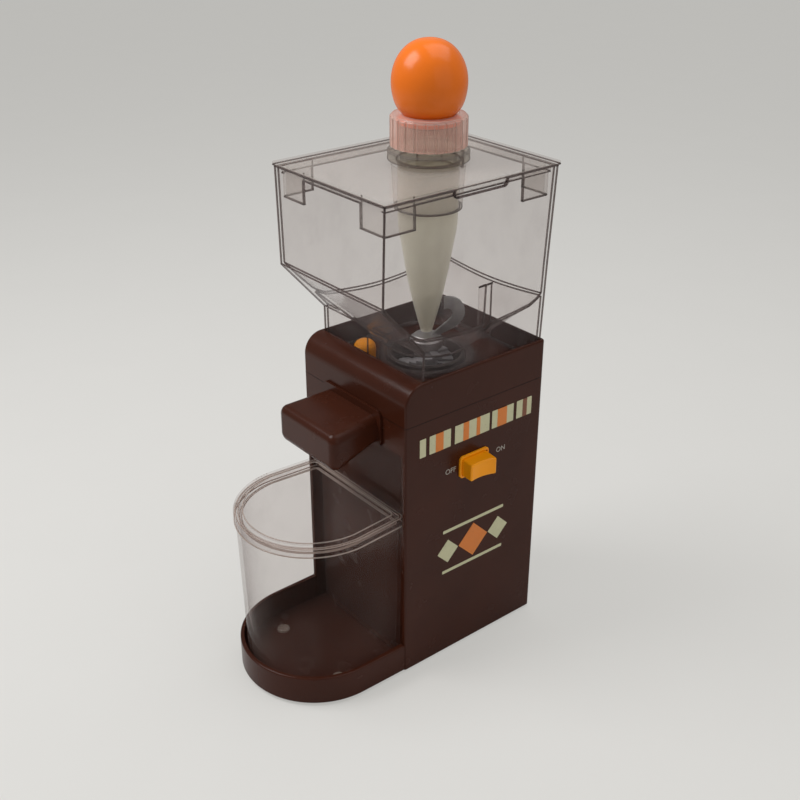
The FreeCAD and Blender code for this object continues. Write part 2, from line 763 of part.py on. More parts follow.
def grinding_chamber():
    """Cup under the deck with a collar through it, a port for the chute and a bush seat."""
    cup = turned([(0, chamber_floor - chamber_floor_thickness),
                  (chamber_radius, chamber_floor - chamber_floor_thickness),
                  (chamber_radius, deck_under - chamber_flange_thickness),
                  (chamber_flange_radius, deck_under - chamber_flange_thickness),
                  (chamber_flange_radius, deck_under),
                  (collar_radius, deck_under), (collar_radius, collar_top - 0.8),
                  (collar_radius - 0.8, collar_top), (collar_bore + 0.5, collar_top),
                  (collar_bore, collar_top - 0.5), (collar_bore, chamber_floor),
                  (0, chamber_floor)], 0, axis_y)
    boss = rod(9.0, gear_plate_top, chamber_floor - chamber_floor_thickness + 0.5, 0, axis_y)
    cup = fused([cup, boss])
    cup = cup.cut(rod(bush_radius, gear_plate_top - 1, chamber_floor + 1, 0, axis_y))
    port = box(-9.5, 9.5, axis_y - chamber_radius - 1, axis_y - 12,
               chamber_floor - 0.1, chute_top - chute_wall)
    cup = cup.cut(port)
    return cup.cut(rod(button_radius + button_head + 0.8, chute_top, deck_top,
                       button_x, button_y))


def chamber_seal():
    """Lip seal that keeps the paste out of the shaft bush."""
    z0 = chamber_floor - 3.0
    outer = bush_radius - spin_gap
    return turned([(shaft_radius + spin_gap, z0), (outer, z0), (outer, chamber_floor),
                   (5.6, chamber_floor), (shaft_radius + spin_gap, chamber_floor - 1.4)],
                  0, axis_y)


def shaft_bush():
    """Bronze bush below the seal, in the chamber's boss."""
    return tube(bush_radius - spin_gap, shaft_radius + spin_gap, gear_plate_top + 0.2,
                chamber_floor - 3.1, 0, axis_y)


def burr_ring():
    """Fixed grinding ring with slanted grooves in its cone."""
    wide = collar_bore - 0.1
    ring = turned([(wide, burr_bottom), (wide, burr_top), (burr_mouth_radius, burr_top),
                   (burr_waist_radius, burr_bottom + burr_foot_height),
                   (burr_foot_radius, burr_bottom)], 0, axis_y)
    grooves = []
    for i in range(12):
        groove = Part.makeCone(1.5, 0.7, burr_top - burr_bottom + 4,
                               V(burr_mouth_radius - 0.2, axis_y, burr_top + 2), V(0.16, 0.2, -1))
        groove.rotate(V(0, axis_y, 0), UP, i * 30)
        grooves.append(groove)
    return ring.cut(Part.makeCompound(grooves))


def burr_cone():
    """Turning grinding cone with slanted teeth, and the wiper that sweeps the floor."""
    top = burr_top + 1.0
    slope = (burr_waist_radius - burr_mouth_radius) / (burr_height - burr_foot_height)
    cone = turned([(shaft_radius, burr_bottom - 0.5),
                   (burr_foot_radius - burr_gap, burr_bottom - 0.5),
                   (burr_waist_radius - burr_gap, burr_bottom + burr_foot_height),
                   (burr_mouth_radius - burr_gap - slope, top), (shaft_radius, top)], 0, axis_y)
    grooves = []
    for i in range(10):
        groove = Part.makeCone(2.0, 0.9, top - burr_bottom + 3,
                               V(burr_mouth_radius - 0.7, axis_y, top + 1.5), V(0.13, -0.35, -1))
        groove.rotate(V(0, axis_y, 0), UP, i * 36)
        grooves.append(groove)
    cone = cone.cut(Part.makeCompound(grooves))
    wiper = box(-collar_bore + 1.2, collar_bore - 1.2, axis_y - 2, axis_y + 2,
                chamber_floor + lift_gap, burr_bottom - 0.3)
    wiper = wiper.common(tube(collar_bore - 1.2, shaft_radius, chamber_floor, burr_bottom,
                              0, axis_y))
    return fused([cone, wiper]).cut(rod(shaft_radius, chamber_floor, top + 1, 0, axis_y))


def feed_auger():
    """Two rising flights on a core, which draw the nuts down to the burrs."""
    z0 = burr_top + 1.0
    z1 = hub_top - hub_length
    core = rod(auger_core, z0, z1, 0, axis_y)
    flights = []
    steps = 10
    for start in (0, 180):
        for i in range(steps):
            z = z0 + 0.2 + (z1 - z0 - 3.2) * i / (steps - 1)
            wedge = Part.makeCylinder(auger_radius, 2.6, V(0, axis_y, z), UP, 22)
            wedge.rotate(V(0, axis_y, 0), UP, start + i * 17.0)
            flights.append(wedge)
    auger = core.multiFuse(flights)
    return auger.cut(rod(shaft_radius, z0 - 1, z1 + 1, 0, axis_y))


def agitator_hook():
    """Hub on the shaft's end with a flat crescent hook that stirs the nuts in the throat."""
    foot = hub_top - hub_length
    hub = turned([(shaft_radius, foot), (hub_radius, foot), (hub_radius, hub_top - 2.5),
                  (hub_radius - 2.5, hub_top), (0, hub_top), (0, hub_top - 3),
                  (shaft_radius, hub_top - 3)], 0, axis_y)

    def at(reach, height):
        return V(reach, axis_y - hook_thickness / 2, hub_top + height)

    outer_points = [at(5.0, -1.2), at(11.5, 1.9), at(18.3, 6.7), at(21.9, 13.7),
                    at(19.6, 20.3), at(13.4, 23.3), at(9.9, 22.9)]
    inner_points = [at(9.9, 15.9), at(13.2, 16.0), at(14.9, 13.7), at(11.5, 7.7),
                    at(6.2, 2.9), at(2.5, -1.2)]
    outside = Part.BSplineCurve()
    outside.interpolate(outer_points)
    inside = Part.BSplineCurve()
    inside.interpolate(inner_points)
    edges = [outside.toShape(), Part.LineSegment(outer_points[-1], inner_points[0]).toShape(),
             inside.toShape(), Part.LineSegment(inner_points[-1], outer_points[0]).toShape()]
    hook = Part.Face(Part.Wire(edges)).extrude(V(0, hook_thickness, 0))
    whole = fused([hub, hook])
    whole.rotate(V(0, axis_y, 0), UP, hook_turn)
    return whole


def drive_shaft():
    """Steel shaft from the gearbox up to the agitator's hub."""
    shaft = rod(shaft_radius - 0.02, tub_floor_z + 13.0, hub_top - 3.1, 0, axis_y)
    return shaft.makeChamfer(0.5, shaft.Edges[:1])


# Gearbox

def gear_outline(teeth, thinning, phase):
    """Points of an involute gear's outline, with a tooth centred on the phase angle."""
    pitch = gear_module * teeth / 2
    base = pitch * math.cos(math.radians(20))
    tip = pitch + gear_module * 0.92
    root = pitch - gear_module * 1.2
    half_tooth = math.pi / (2 * teeth) - thinning / (2 * pitch)

    def roll(radius):
        turn = math.sqrt(max((radius / base) ** 2 - 1, 0))
        return turn - math.atan(turn)

    flank = [max(base, root), pitch, tip]
    points = []
    for i in range(teeth):
        middle = phase + 2 * math.pi * i / teeth
        rise = [(r, middle - half_tooth - roll(pitch) + roll(r)) for r in flank]
        fall = [(r, 2 * middle - a) for r, a in reversed(rise)]
        foot = rise[0][1]
        points.append((root, foot - 0.02 / teeth))
        points += rise + fall
        points.append((root, 2 * middle - foot + 0.02 / teeth))
    return [(r * math.cos(a), r * math.sin(a)) for r, a in points]


def gear(teeth, z0, z1, y, phase):
    """Spur gear standing on the X = 0 plane at a given Y."""
    outline = [(px, py + y) for px, py in gear_outline(teeth, backlash, phase)]
    return plate(outline, z0, z1)


def output_gear():
    """Wheel fixed on the drive shaft."""
    z0 = second_stage_z
    z1 = z0 + second_stage_width
    wheel = gear(wheel_teeth, z0, z1, axis_y, math.pi / 2)
    web = tube(15.5, 8.0, z0 + 3.0, z1 + 1, 0, axis_y)
    hub = rod(8.0, z0, z1 + 2.5, 0, axis_y)
    return fused([wheel.cut(web), hub]).cut(rod(shaft_radius, z0 - 1, z1 + 4, 0, axis_y))


def layshaft_gear():
    """Two-step gear that turns on the layshaft."""
    z0 = first_stage_z
    z1 = z0 + first_stage_width
    pinion = gear(pinion_teeth, z1 + 0.5, gear_plate_z - 2.0, layshaft_y,
                  -math.pi / 2 + math.pi / pinion_teeth)
    wheel = gear(wheel_teeth, z0, z1, layshaft_y, -math.pi / 2)
    web = tube(15.5, 7.0, z0 - 1, z0 + 2.3, 0, layshaft_y)
    hub = rod(4.4, z0 - 2.3, z1 + 0.7, 0, layshaft_y)
    cluster = fused([pinion, wheel.cut(web), hub])
    return cluster.cut(rod(layshaft_radius + spin_gap, tub_floor_z, gear_plate_z, 0, layshaft_y))


def motor_pinion():
    """Small gear pressed on the motor's shaft."""
    z0 = first_stage_z - 1.0
    pinion = gear(pinion_teeth, z0, motor_shaft_top, axis_y,
                  math.pi / 2 + math.pi / pinion_teeth)
    return pinion.cut(rod(motor_shaft_radius, z0 - 1, motor_shaft_top + 1, 0, axis_y))


def layshaft():
    """Fixed pin between the gearbox's floor and its top plate."""
    return rod(layshaft_radius, tub_floor_z + tub_floor, gear_plate_z, 0, layshaft_y)


def tub_bounds():
    """Outer limits of the gearbox tub: half width, front and rear."""
    return tub_reach + 1.6, axis_y - tub_reach, layshaft_y + tub_reach


def gearbox_tub():
    """Cup that holds the gears and carries the motor under it."""
    half, front, rear = tub_bounds()
    tub = rounded_box(-half, half, front, rear, tub_floor_z, gear_plate_z, 8)
    inside = rounded_box(-half + tub_wall, half - tub_wall, front + tub_wall, rear - tub_wall,
                         tub_floor_z + tub_floor, gear_plate_z + 1, 6.5)
    tub = tub.cut(inside)
    ears = []
    for x, y in tub_screw_places():
        ears.append(rod(3.6, gear_plate_z - 8, gear_plate_z, x, y))
    tub = fused([tub] + ears).cut(inside)
    for x, y in tub_screw_places():
        tub = tub.cut(rod(screw_radius + 0.1, gear_plate_z - 9, gear_plate_z + 1, x, y))
    inside_floor = tub_floor_z + tub_floor
    for x in (-motor_screw_x, motor_screw_x):
        tub = tub.cut(rod(screw_radius + 0.1, tub_floor_z - 1, inside_floor + 1, x, axis_y))
    seat = rod(layshaft_radius + 2.5, inside_floor - 0.5, inside_floor + 0.5, 0, layshaft_y)
    tub = tub.fuse(seat.cut(rod(layshaft_radius, tub_floor_z, gear_plate_z, 0, layshaft_y)))
    return tub.cut(rod(4.6, tub_floor_z - 1, inside_floor + 1, 0, axis_y)).removeSplitter()


def tub_screw_places():
    """Four screw ears on the tub's sides."""
    half = tub_bounds()[0]
    return [(x, y) for x in (-half - 3.2, half + 3.2) for y in (axis_y - 16, layshaft_y + 12)]


def gearbox_plate():
    """Top plate of the gearbox, screwed up to the housing's four pillars."""
    front = pillar_front_y - 6
    rear = inner_rear - 0.7
    low = gear_plate_z - 1
    high = gear_plate_top + 1
    slab = rounded_box(-pillar_x - 5, pillar_x + 5, front, rear, gear_plate_z, gear_plate_top, 5)
    slab = slab.cut(rod(bush_radius, low, high, 0, axis_y))
    for x, y in pillar_places():
        slab = slab.cut(rod(screw_radius + 0.1, low, high, x, y))
    for x, y in tub_screw_places():
        slab = slab.cut(rod(screw_radius, low, high, x, y))
    return slab


def plate_bush():
    """Bush that centres the drive shaft in the gearbox's top plate."""
    return tube(bush_radius, shaft_radius + spin_gap, gear_plate_z - 0.8, gear_plate_top + 0.1,
                0, axis_y)


# Motor

def motor_can():
    """Drawn steel can with a bearing boss at its top."""
    z1 = tub_floor_z
    z0 = z1 - motor_length
    can = turned([(motor_radius - motor_wall, z0), (motor_radius, z0), (motor_radius, z1 - 2),
                  (motor_radius - 2, z1), (4.4, z1), (4.4, z1 + 1.6),
                  (motor_shaft_radius + spin_gap, z1 + 1.6), (motor_shaft_radius + spin_gap, z1 - 3),
                  (6, z1 - 3), (6, z1 - motor_wall), (motor_radius - 2.6, z1 - motor_wall),
                  (motor_radius - motor_wall, z1 - 2.6)], 0, axis_y)
    for x in (-motor_screw_x, motor_screw_x):
        can = can.cut(rod(screw_radius, z1 - 5, z1 + 1, x, axis_y))
    return can


def motor_end_cap():
    """Plastic end cap with the lower bearing and two brush boxes."""
    z1 = tub_floor_z - motor_length
    z0 = z1 - end_cap_height
    spigot = motor_radius - motor_wall - nest_gap
    cap = turned([(motor_shaft_radius + spin_gap, z0), (motor_radius, z0), (motor_radius, z1),
                  (spigot, z1), (spigot, z1 + 3), (motor_radius - 4, z1 + 3),
                  (motor_radius - 4, z0 + 2.5), (6, z0 + 2.5), (6, z1),
                  (motor_shaft_radius + spin_gap, z1)], 0, axis_y)
    brushes = []
    for side in (-1, 1):
        x0, x1 = sorted((side * 8.2, side * (motor_radius - 3.5)))
        brushes.append(box(x0, x1, axis_y - 3, axis_y + 3, z0 + 2, z1 + 3))
    return fused([cap] + brushes)


def motor_magnets():
    """Two arc magnets inside the can."""
    outer = motor_radius - motor_wall - nest_gap
    ring = tube(outer, outer - 3, tub_floor_z - motor_length + 12, tub_floor_z - 8, 0, axis_y)
    gap = box(-6, 6, axis_y - motor_radius, axis_y + motor_radius,
              tub_floor_z - motor_length, tub_floor_z)
    return group(ring.cut(gap).Solids)


def motor_armature():
    """Shaft with the slotted iron stack, its end windings and the commutator."""
    z0 = tub_floor_z - motor_length
    low = z0 + stack_low
    high = z0 + stack_high
    shaft = rod(motor_shaft_radius, z0 - 20, motor_shaft_top, 0, axis_y)
    stack = rod(stack_radius, low, high, 0, axis_y)
    slots = []
    for i in range(7):
        slot = box(stack_radius - 4.4, stack_radius + 1.6, -1.2, 1.2, low - 1, high + 1)
        slot.rotate(V(0, 0, 0), UP, i * 360 / 7)
        slot.translate(V(0, axis_y, 0))
        slots.append(slot)
    stack = stack.cut(Part.makeCompound(slots))
    low_winding = rod(13.5, low - 3, low, 0, axis_y)
    top_winding = rod(13.5, high, high + 4, 0, axis_y)
    commutator = rod(7.8, z0 + 1, low - 3, 0, axis_y)
    return fused([shaft, stack, low_winding, top_winding, commutator])


def cooling_fan():
    """Bladed fan on the motor shaft's lower end."""
    z0 = tub_floor_z - motor_length - 19
    hub = rod(5.0, z0, z0 + 9, 0, axis_y)
    disc = rod(fan_radius, z0 + 7.5, z0 + 9, 0, axis_y)
    pieces = [hub, disc]
    for i in range(7):
        blade = box(4, fan_radius - 0.5, -0.8, 0.8, z0, z0 + 8)
        blade.rotate(V(0, 0, 0), UP, i * 360 / 7)
        blade.translate(V(0, axis_y, 0))
        pieces.append(blade)
    return fused(pieces).cut(rod(motor_shaft_radius, z0 - 1, z0 + 10, 0, axis_y))


# Switch and mains pieces

def switch_frame():
    """Bezel on the panel and the sleeve that passes through it."""
    y0 = switch_y - bezel_length / 2
    z0 = switch_z - bezel_height / 2
    bezel = box(half_width, half_width + bezel_thickness, y0, y0 + bezel_length,
                z0, z0 + bezel_height)
    bezel = bezel.makeFillet(2.4, edges_where(bezel, lambda m, d: abs(d.x) > 0.999))
    bezel = bezel.makeFillet(0.6, edges_where(bezel, lambda m, d:
                                              m.x > half_width + bezel_thickness - 0.01))
    sleeve = box(half_width - sleeve_depth, half_width + 0.5, y0 + bezel_lap_y + nest_gap,
                 y0 + bezel_length - bezel_lap_y - nest_gap, z0 + bezel_lap_z + nest_gap,
                 z0 + bezel_height - bezel_lap_z - nest_gap)
    bore = box(half_width - sleeve_depth + 1.5, half_width + 5, switch_y - cap_length / 2 - 0.5,
               switch_y + cap_length / 2 + 0.5, switch_z - cap_height / 2 - 0.25,
               switch_z + cap_height / 2 + 0.25)
    pivot = rod(pivot_radius + spin_gap, z0, z0 + bezel_height, half_width - pivot_depth, switch_y)
    return fused([bezel, sleeve]).cut(bore).cut(pivot)


def rocker_cap():
    """Tall rocker with a hollowed face and two pivot studs, tilted to the OFF side."""
    top = cap_arm
    pivot = V(half_width - pivot_depth, switch_y, switch_z)
    half = cap_length / 2
    face_left = V(top, -half + 0.3, 0)
    face_right = V(top, half - 0.3, 0)
    edges = [Part.LineSegment(V(-1.6, -half + 3.4, 0), V(1.5, -half, 0)).toShape(),
             Part.LineSegment(V(1.5, -half, 0), face_left).toShape(),
             Part.Arc(face_left, V(top - cap_hollow, 0, 0), face_right).toShape(),
             Part.LineSegment(face_right, V(1.5, half, 0)).toShape(),
             Part.LineSegment(V(1.5, half, 0), V(-1.6, half - 3.4, 0)).toShape(),
             Part.LineSegment(V(-1.6, half - 3.4, 0), V(-1.6, -half + 3.4, 0)).toShape()]
    cap = Part.Face(Part.Wire(edges)).extrude(V(0, 0, cap_height))
    cap.translate(V(0, 0, -cap_height / 2))
    cap = cap.makeFillet(1.0, edges_where(cap, lambda m, d: m.x > 5))
    stud_reach = bezel_height / 2 - bezel_lap_z - nest_gap - 0.1
    cap = fused([cap, rod(pivot_radius, -stud_reach, stud_reach)])
    cap.rotate(V(0, 0, 0), UP, -cap_tilt)
    cap.translate(pivot)
    return cap


def switch_base():
    """Terminal block clipped behind the switch frame, with three blade tabs."""
    x1 = half_width - sleeve_depth - 0.05
    block = box(x1 - 4.5, x1, switch_y - 9, switch_y + 9, switch_z - 5.5, switch_z + 5.5)
    pieces = [block]
    for dy in (-6, 0, 6):
        pieces.append(box(x1 - 7.3, x1 - 4, switch_y + dy - 0.4, switch_y + dy + 0.4,
                          switch_z - 2.4, switch_z + 2.4))
    return fused(pieces)


def cord_gland():
    """Rubber gland in the rear wall where the mains lead comes in."""
    rear = body_depth
    outer = Part.makeCylinder(gland_radius, 2.2, V(gland_x, rear, gland_z), V(0, 1, 0))
    sleeve = Part.makeCylinder(gland_radius - 1.5, body_wall + 2.4,
                               V(gland_x, rear - body_wall - 2.0, gland_z), V(0, 1, 0))
    inner = Part.makeCylinder(gland_radius - 0.4, 1.8,
                              V(gland_x, rear - body_wall - 2.0, gland_z), V(0, 1, 0))
    hole = Part.makeCylinder(lead_radius, 12, V(gland_x, rear - 8, gland_z), V(0, 1, 0))
    outer = outer.makeFillet(0.7, edges_where(outer, lambda m, d: m.y > rear + 2.1))
    return fused([outer, sleeve, inner]).cut(hole)


def rectifier_board():
    """Circuit board on the rear wall that feeds the direct-current motor."""
    y1 = inner_rear - 4.0
    z0 = board_low
    parts = [box(-board_half, board_half, y1 - 1.6, y1, z0, z0 + board_height)]
    for i in range(4):
        parts.append(Part.makeCylinder(1.6, 7, V(-12 + i * 6, y1 - 3.0, z0 + 4), UP))
    parts.append(Part.makeCylinder(5.0, 9, V(8, y1 - 1.5, z0 + 21), V(0, -1, 0)))
    parts.append(box(-14, -2, y1 - 8, y1 - 1.5, z0 + 18, z0 + 27))
    for x in (4 - board_half, board_half - 4):
        parts.append(Part.makeCylinder(2.2, 4.0, V(x, y1, z0 + 15), V(0, 1, 0)))
    return fused(parts)


# Release button

def release_button():
    """Domed push button through the deck, with a stem and a catch foot."""
    head = button_radius + button_head
    head_z = deck_under - button_head_height
    dome = turned([(0, head_z), (head, head_z), (head, deck_under - lift_gap),
                   (button_radius, deck_under - lift_gap), (button_radius, button_top - 5.0),
                   (button_radius - 0.4, button_top - 3.3), (button_radius - 1.4, button_top - 1.8),
                   (button_radius - 3.0, button_top - 0.7), (button_radius - 4.8, button_top - 0.15),
                   (0, button_top)], button_x, button_y)
    stem = rod(1.8, spring_seat, head_z + 0.5, button_x, button_y)
    return fused([dome, stem])


def button_spring():
    """Coil spring that pushes the release button up, its wire drawn with six sides."""
    low = spring_seat + spring_wire + 0.02
    rise = deck_under - button_head_height - spring_wire - 0.02 - low
    steps = spring_turns * 12
    sections = []
    for i in range(steps + 1):
        turn = 2 * math.pi * i / 12
        corners = []
        for side in range(6):
            lean = math.pi / 3 * side + math.pi / 6
            reach = spring_radius + spring_wire * math.cos(lean)
            corners.append(V(button_x + reach * math.cos(turn), button_y + reach * math.sin(turn),
                             low + rise * i / steps + spring_wire * math.sin(lean)))
        sections.append(Part.makePolygon(corners + corners[:1]))
    return Part.makeLoft(sections, True, True)


def button_bracket():
    """Small shelf under the deck that carries the button's spring."""
    z1 = spring_seat
    shelf = box(button_x - 6.5, button_x + 5.0, button_y - 5.5, button_y + 5.0, z1 - 1.6, z1)
    shelf = shelf.cut(rod(2.2, z1 - 3, z1 + 1, button_x, button_y))
    wall = box(button_x - 10.2, button_x - 8.0, button_y - 5.5, button_y + 5.0,
               z1 - 1.6, deck_under)
    bridge = box(button_x - 10.2, button_x - 6.0, button_y - 5.5, button_y + 5.0, z1 - 1.6, z1)
    return fused([shelf, wall, bridge])


# Hopper

def hopper_outer(inset):
    """Solid of the hopper's outer shape, or of its inside with an inset of one wall."""
    top = hopper_top if inset == 0 else hopper_top + 1
    bottom = deck_top + lift_gap if inset == 0 else deck_top - 1
    slant_z = funnel_start_z + funnel_rise * (axis_y - skirt_front_y - spigot_bore - spigot_wall)
    lean = inset * (math.hypot(1, funnel_rise) - 1) / funnel_rise
    side = side_profile([(hopper_front_y + inset, top),
                         (hopper_front_y + inset, hopper_knee_z + inset * 0.25 + lean),
                         (skirt_front_y + inset, slant_z + inset * 0.25 + lean),
                         (skirt_front_y + inset, bottom), (skirt_rear_y - inset, bottom),
                         (hopper_rear_knee_y - inset, hopper_knee_z - 18),
                         (hopper_rear_top_y - inset, top)], hopper_top_half + 1)
    front = front_profile([(-hopper_top_half + inset, top),
                           (-hopper_knee_half + inset, hopper_knee_z),
                           (-skirt_half + inset, bottom), (skirt_half - inset, bottom),
                           (hopper_knee_half - inset, hopper_knee_z),
                           (hopper_top_half - inset, top)], hopper_front_y - 1, hopper_rear_top_y + 1)
    return side.common(front)


def funnel_cone(radius, reach, z0, z1):
    """Loft from the round throat to a square, so that each side slopes alike."""
    half = radius + reach
    corner = 5.0
    quarter = math.radians(45)
    low = []
    high = []
    for i in range(4):
        a = math.pi / 2 * i
        mid_angle = math.radians(8)
        p = [V(radius * math.cos(a + s), radius * math.sin(a + s), z0)
             for s in (-quarter + mid_angle, 0, quarter - mid_angle, quarter, quarter + mid_angle)]
        low.append(Part.Arc(p[0], p[1], p[2]).toShape())
        low.append(Part.Arc(p[2], p[3], p[4]).toShape())
        straight = half - corner
        arc = corner * math.sqrt(0.5)
        q = [V(half, -straight, z1), V(half, straight, z1),
             V(straight + arc, straight + arc, z1), V(straight, half, z1)]
        line = Part.LineSegment(q[0], q[1]).toShape()
        bend = Part.Arc(q[1], q[2], q[3]).toShape()
        for edge in (line, bend):
            edge.rotate(V(0, 0, 0), UP, 90 * i)
            high.append(edge)
    cone = Part.makeLoft([Part.Wire(low), Part.Wire(high)], True, True)
    cone.translate(V(0, axis_y, 0))
    return cone


def hopper():
    """Clear hopper: tapered box, sloping funnel, skirt inside the rim, and the throat spigot."""
    outer = hopper_outer(0)
    inner = hopper_outer(hopper_wall)
    shell = outer.cut(inner)
    lift = 44.0
    reach = lift / funnel_rise + 14
    funnel_top = funnel_start_z + reach * funnel_rise
    outside = funnel_cone(spigot_bore + spigot_wall, reach, funnel_start_z, funnel_top)
    inside = funnel_cone(spigot_bore, reach, funnel_start_z, funnel_top)
    funnel = outside.cut(inside).common(outer)
    spigot = tube(spigot_bore + spigot_wall, spigot_bore, deck_top + lift_gap, funnel_start_z,
                  0, axis_y)
    foot = tube(spigot_foot_radius, spigot_bore, deck_top + lift_gap,
                deck_top + lift_gap + spigot_foot_height, 0, axis_y)
    lug = box(-lug_half, lug_half, skirt_front_y + hopper_wall - 0.2,
              skirt_front_y + hopper_wall + lug_thickness, deck_under + 0.4, lug_top)
    lug = lug.makeFillet(0.8, upright_edges(lug, lambda m: m.y > skirt_front_y + hopper_wall))
    whole = shell.multiFuse([funnel, spigot, foot, lug])
    whole = whole.cut(rod(spigot_bore, deck_top - 1, funnel_start_z + 0.5, 0, axis_y))
    whole = whole.fuse(interlock_post())
    notch = box(hopper_top_half - 6, hopper_top_half + 3, notch_front_y, notch_rear_y,
                hopper_top - notch_depth, hopper_top + 3)
    notch = notch.makeFillet(2.0, edges_where(notch, lambda m, d: abs(d.x) > 0.999
                                              and m.z < hopper_top))
    return whole.cut(notch).removeSplitter()


def interlock_post():
    """Round post on the side wall, rising from the funnel to a slanted top."""
    foot = funnel_start_z + funnel_rise * (post_x - post_radius - spigot_bore - spigot_wall) + 0.4
    post = rod(post_radius, foot, post_top, post_x, post_y)
    slant = box(-10, 10, -10, 10, 0, 20)
    slant.rotate(V(0, 0, 0), V(0, 1, 0), -post_slant)
    slant.translate(V(post_x, post_y, post_top - post_radius * math.tan(math.radians(post_slant))))
    return post.cut(slant)


def hopper_lid():
    """Clear flat lid with a locating lip, four corner tabs and the dropper's socket."""
    slab = rounded_box(-lid_half, lid_half, lid_front_y, lid_rear_y, lid_under, lid_top, 1.6)
    slab = slab.makeFillet(0.5, edges_where(slab, lambda m, d: m.z > lid_top - 0.01))

    def inside(depth):
        share = depth / (hopper_top - hopper_knee_z)
        lean = share * (hopper_top_half - hopper_knee_half)
        gap = hopper_wall + lid_fit_gap + lean
        return (hopper_top_half - gap, hopper_front_y + hopper_wall + lid_fit_gap,
                hopper_rear_top_y - gap)

    half, front, rear = inside(lid_lip_depth)
    lip = rounded_box(-half, half, front, rear, hopper_top - lid_lip_depth, lid_under + 0.5, 1.2)
    low = hopper_top - lid_tab_depth - 1
    high = lid_top + 1
    wall = lid_lip_wall
    lip = lip.cut(box(-half + wall, half - wall, front + wall, rear - wall, low, high))
    pieces = [slab, lip]
    half, front, rear = inside(lid_tab_depth)
    thick = lid_tab_thickness
    ring = rounded_box(-half, half, front, rear, hopper_top - lid_tab_depth, lid_under + 0.5, 2.4)
    ring = ring.cut(rounded_box(-half + thick, half - thick, front + thick, rear - thick,
                                low, high, 1.0))
    for sx in (-1, 1):
        for y0, y1 in ((front, front + lid_tab_leg), (rear - lid_tab_leg, rear)):
            x0, x1 = sorted((sx * half, sx * (half - lid_tab_leg)))
            pieces.append(ring.common(box(x0, x1, y0, y1, low, high)))
    pieces.append(turned([(socket_bore, socket_foot_z), (socket_foot_radius, socket_foot_z),
                          (socket_top_radius, lid_under + 0.5), (socket_bore, lid_under + 0.5)],
                         0, axis_y))
    lid = fused(pieces)
    return lid.cut(rod(socket_bore, socket_foot_z - 1, high, 0, axis_y))


# Dropper

def vial_curve(inset):
    """Outline of the vial's pointed body, from its shoulder down to the tip, as (radius, z)."""
    stations = [(vial_radius, 68.4), (15.9, 60.4), (14.5, 52.4), (12.9, 42.4), (11.3, 33.4),
                (8.2, 18.9), (5.2, 7.4), (3.2, 0)]
    return [(max(r - inset, vial_tip_bore), vial_tip_z + (h if h else inset))
            for r, h in stations]


def dropper_vial():
    """Frosted oil vial with a flange on the lid and a threaded neck."""
    top = neck_top
    outside = vial_curve(0)
    inside = vial_curve(vial_wall)
    neck_bore = neck_radius - neck_wall
    down = [V(r, 0, z) for r, z in outside]
    curve = Part.BSplineCurve()
    curve.interpolate(down)
    curve_in = Part.BSplineCurve()
    curve_in.interpolate([V(r, 0, z) for r, z in reversed(inside)])
    first_in = V(inside[0][0], 0, inside[0][1])
    chain = [V(neck_bore, 0, top), V(neck_radius, 0, top), V(neck_radius, 0, flange_top),
             V(dropper_flange_radius - 0.8, 0, flange_top),
             V(dropper_flange_radius, 0, flange_top - 0.8),
             V(dropper_flange_radius, 0, flange_under), V(vial_radius, 0, flange_under), down[0]]
    edges = [Part.LineSegment(a, b).toShape() for a, b in zip(chain, chain[1:])]
    edges.append(curve.toShape())
    tip = V(vial_tip_bore, 0, vial_tip_z)
    last_in = V(inside[-1][0], 0, inside[-1][1])
    edges.append(Part.LineSegment(down[-1], tip).toShape())
    edges.append(Part.LineSegment(tip, last_in).toShape())
    edges.append(curve_in.toShape())
    edges.append(Part.LineSegment(first_in, V(first_in.x, 0, flange_under)).toShape())
    edges.append(Part.LineSegment(V(first_in.x, 0, flange_under), V(neck_bore, 0, top)).toShape())
    vial = Part.Face(Part.Wire(edges)).revolve(V(0, 0, 0), UP, 360)
    vial.translate(V(0, axis_y, 0))
    return vial


def dropper_collar():
    """Clear screw collar with upright flutes round it."""
    z0 = flange_top + collar_cap_lift
    z1 = collar_cap_top
    roof = z1 - collar_cap_roof
    bore = neck_radius + lift_gap
    hole = bulb_neck_radius + 0.4
    collar = turned([(bore, z0), (collar_cap_radius, z0), (collar_cap_radius, z1 - 1.2),
                     (collar_cap_radius - 1.2, z1), (hole, z1), (hole, roof), (bore, roof)],
                    0, axis_y)
    flutes = []
    reach = collar_cap_radius + 0.35
    for i in range(collar_cap_flutes):
        angle = 2 * math.pi * i / collar_cap_flutes
        flutes.append(rod(0.9, z0 - 1, z1 + 1, reach * math.cos(angle),
                          axis_y + reach * math.sin(angle)))
    return collar.cut(Part.makeCompound(flutes))


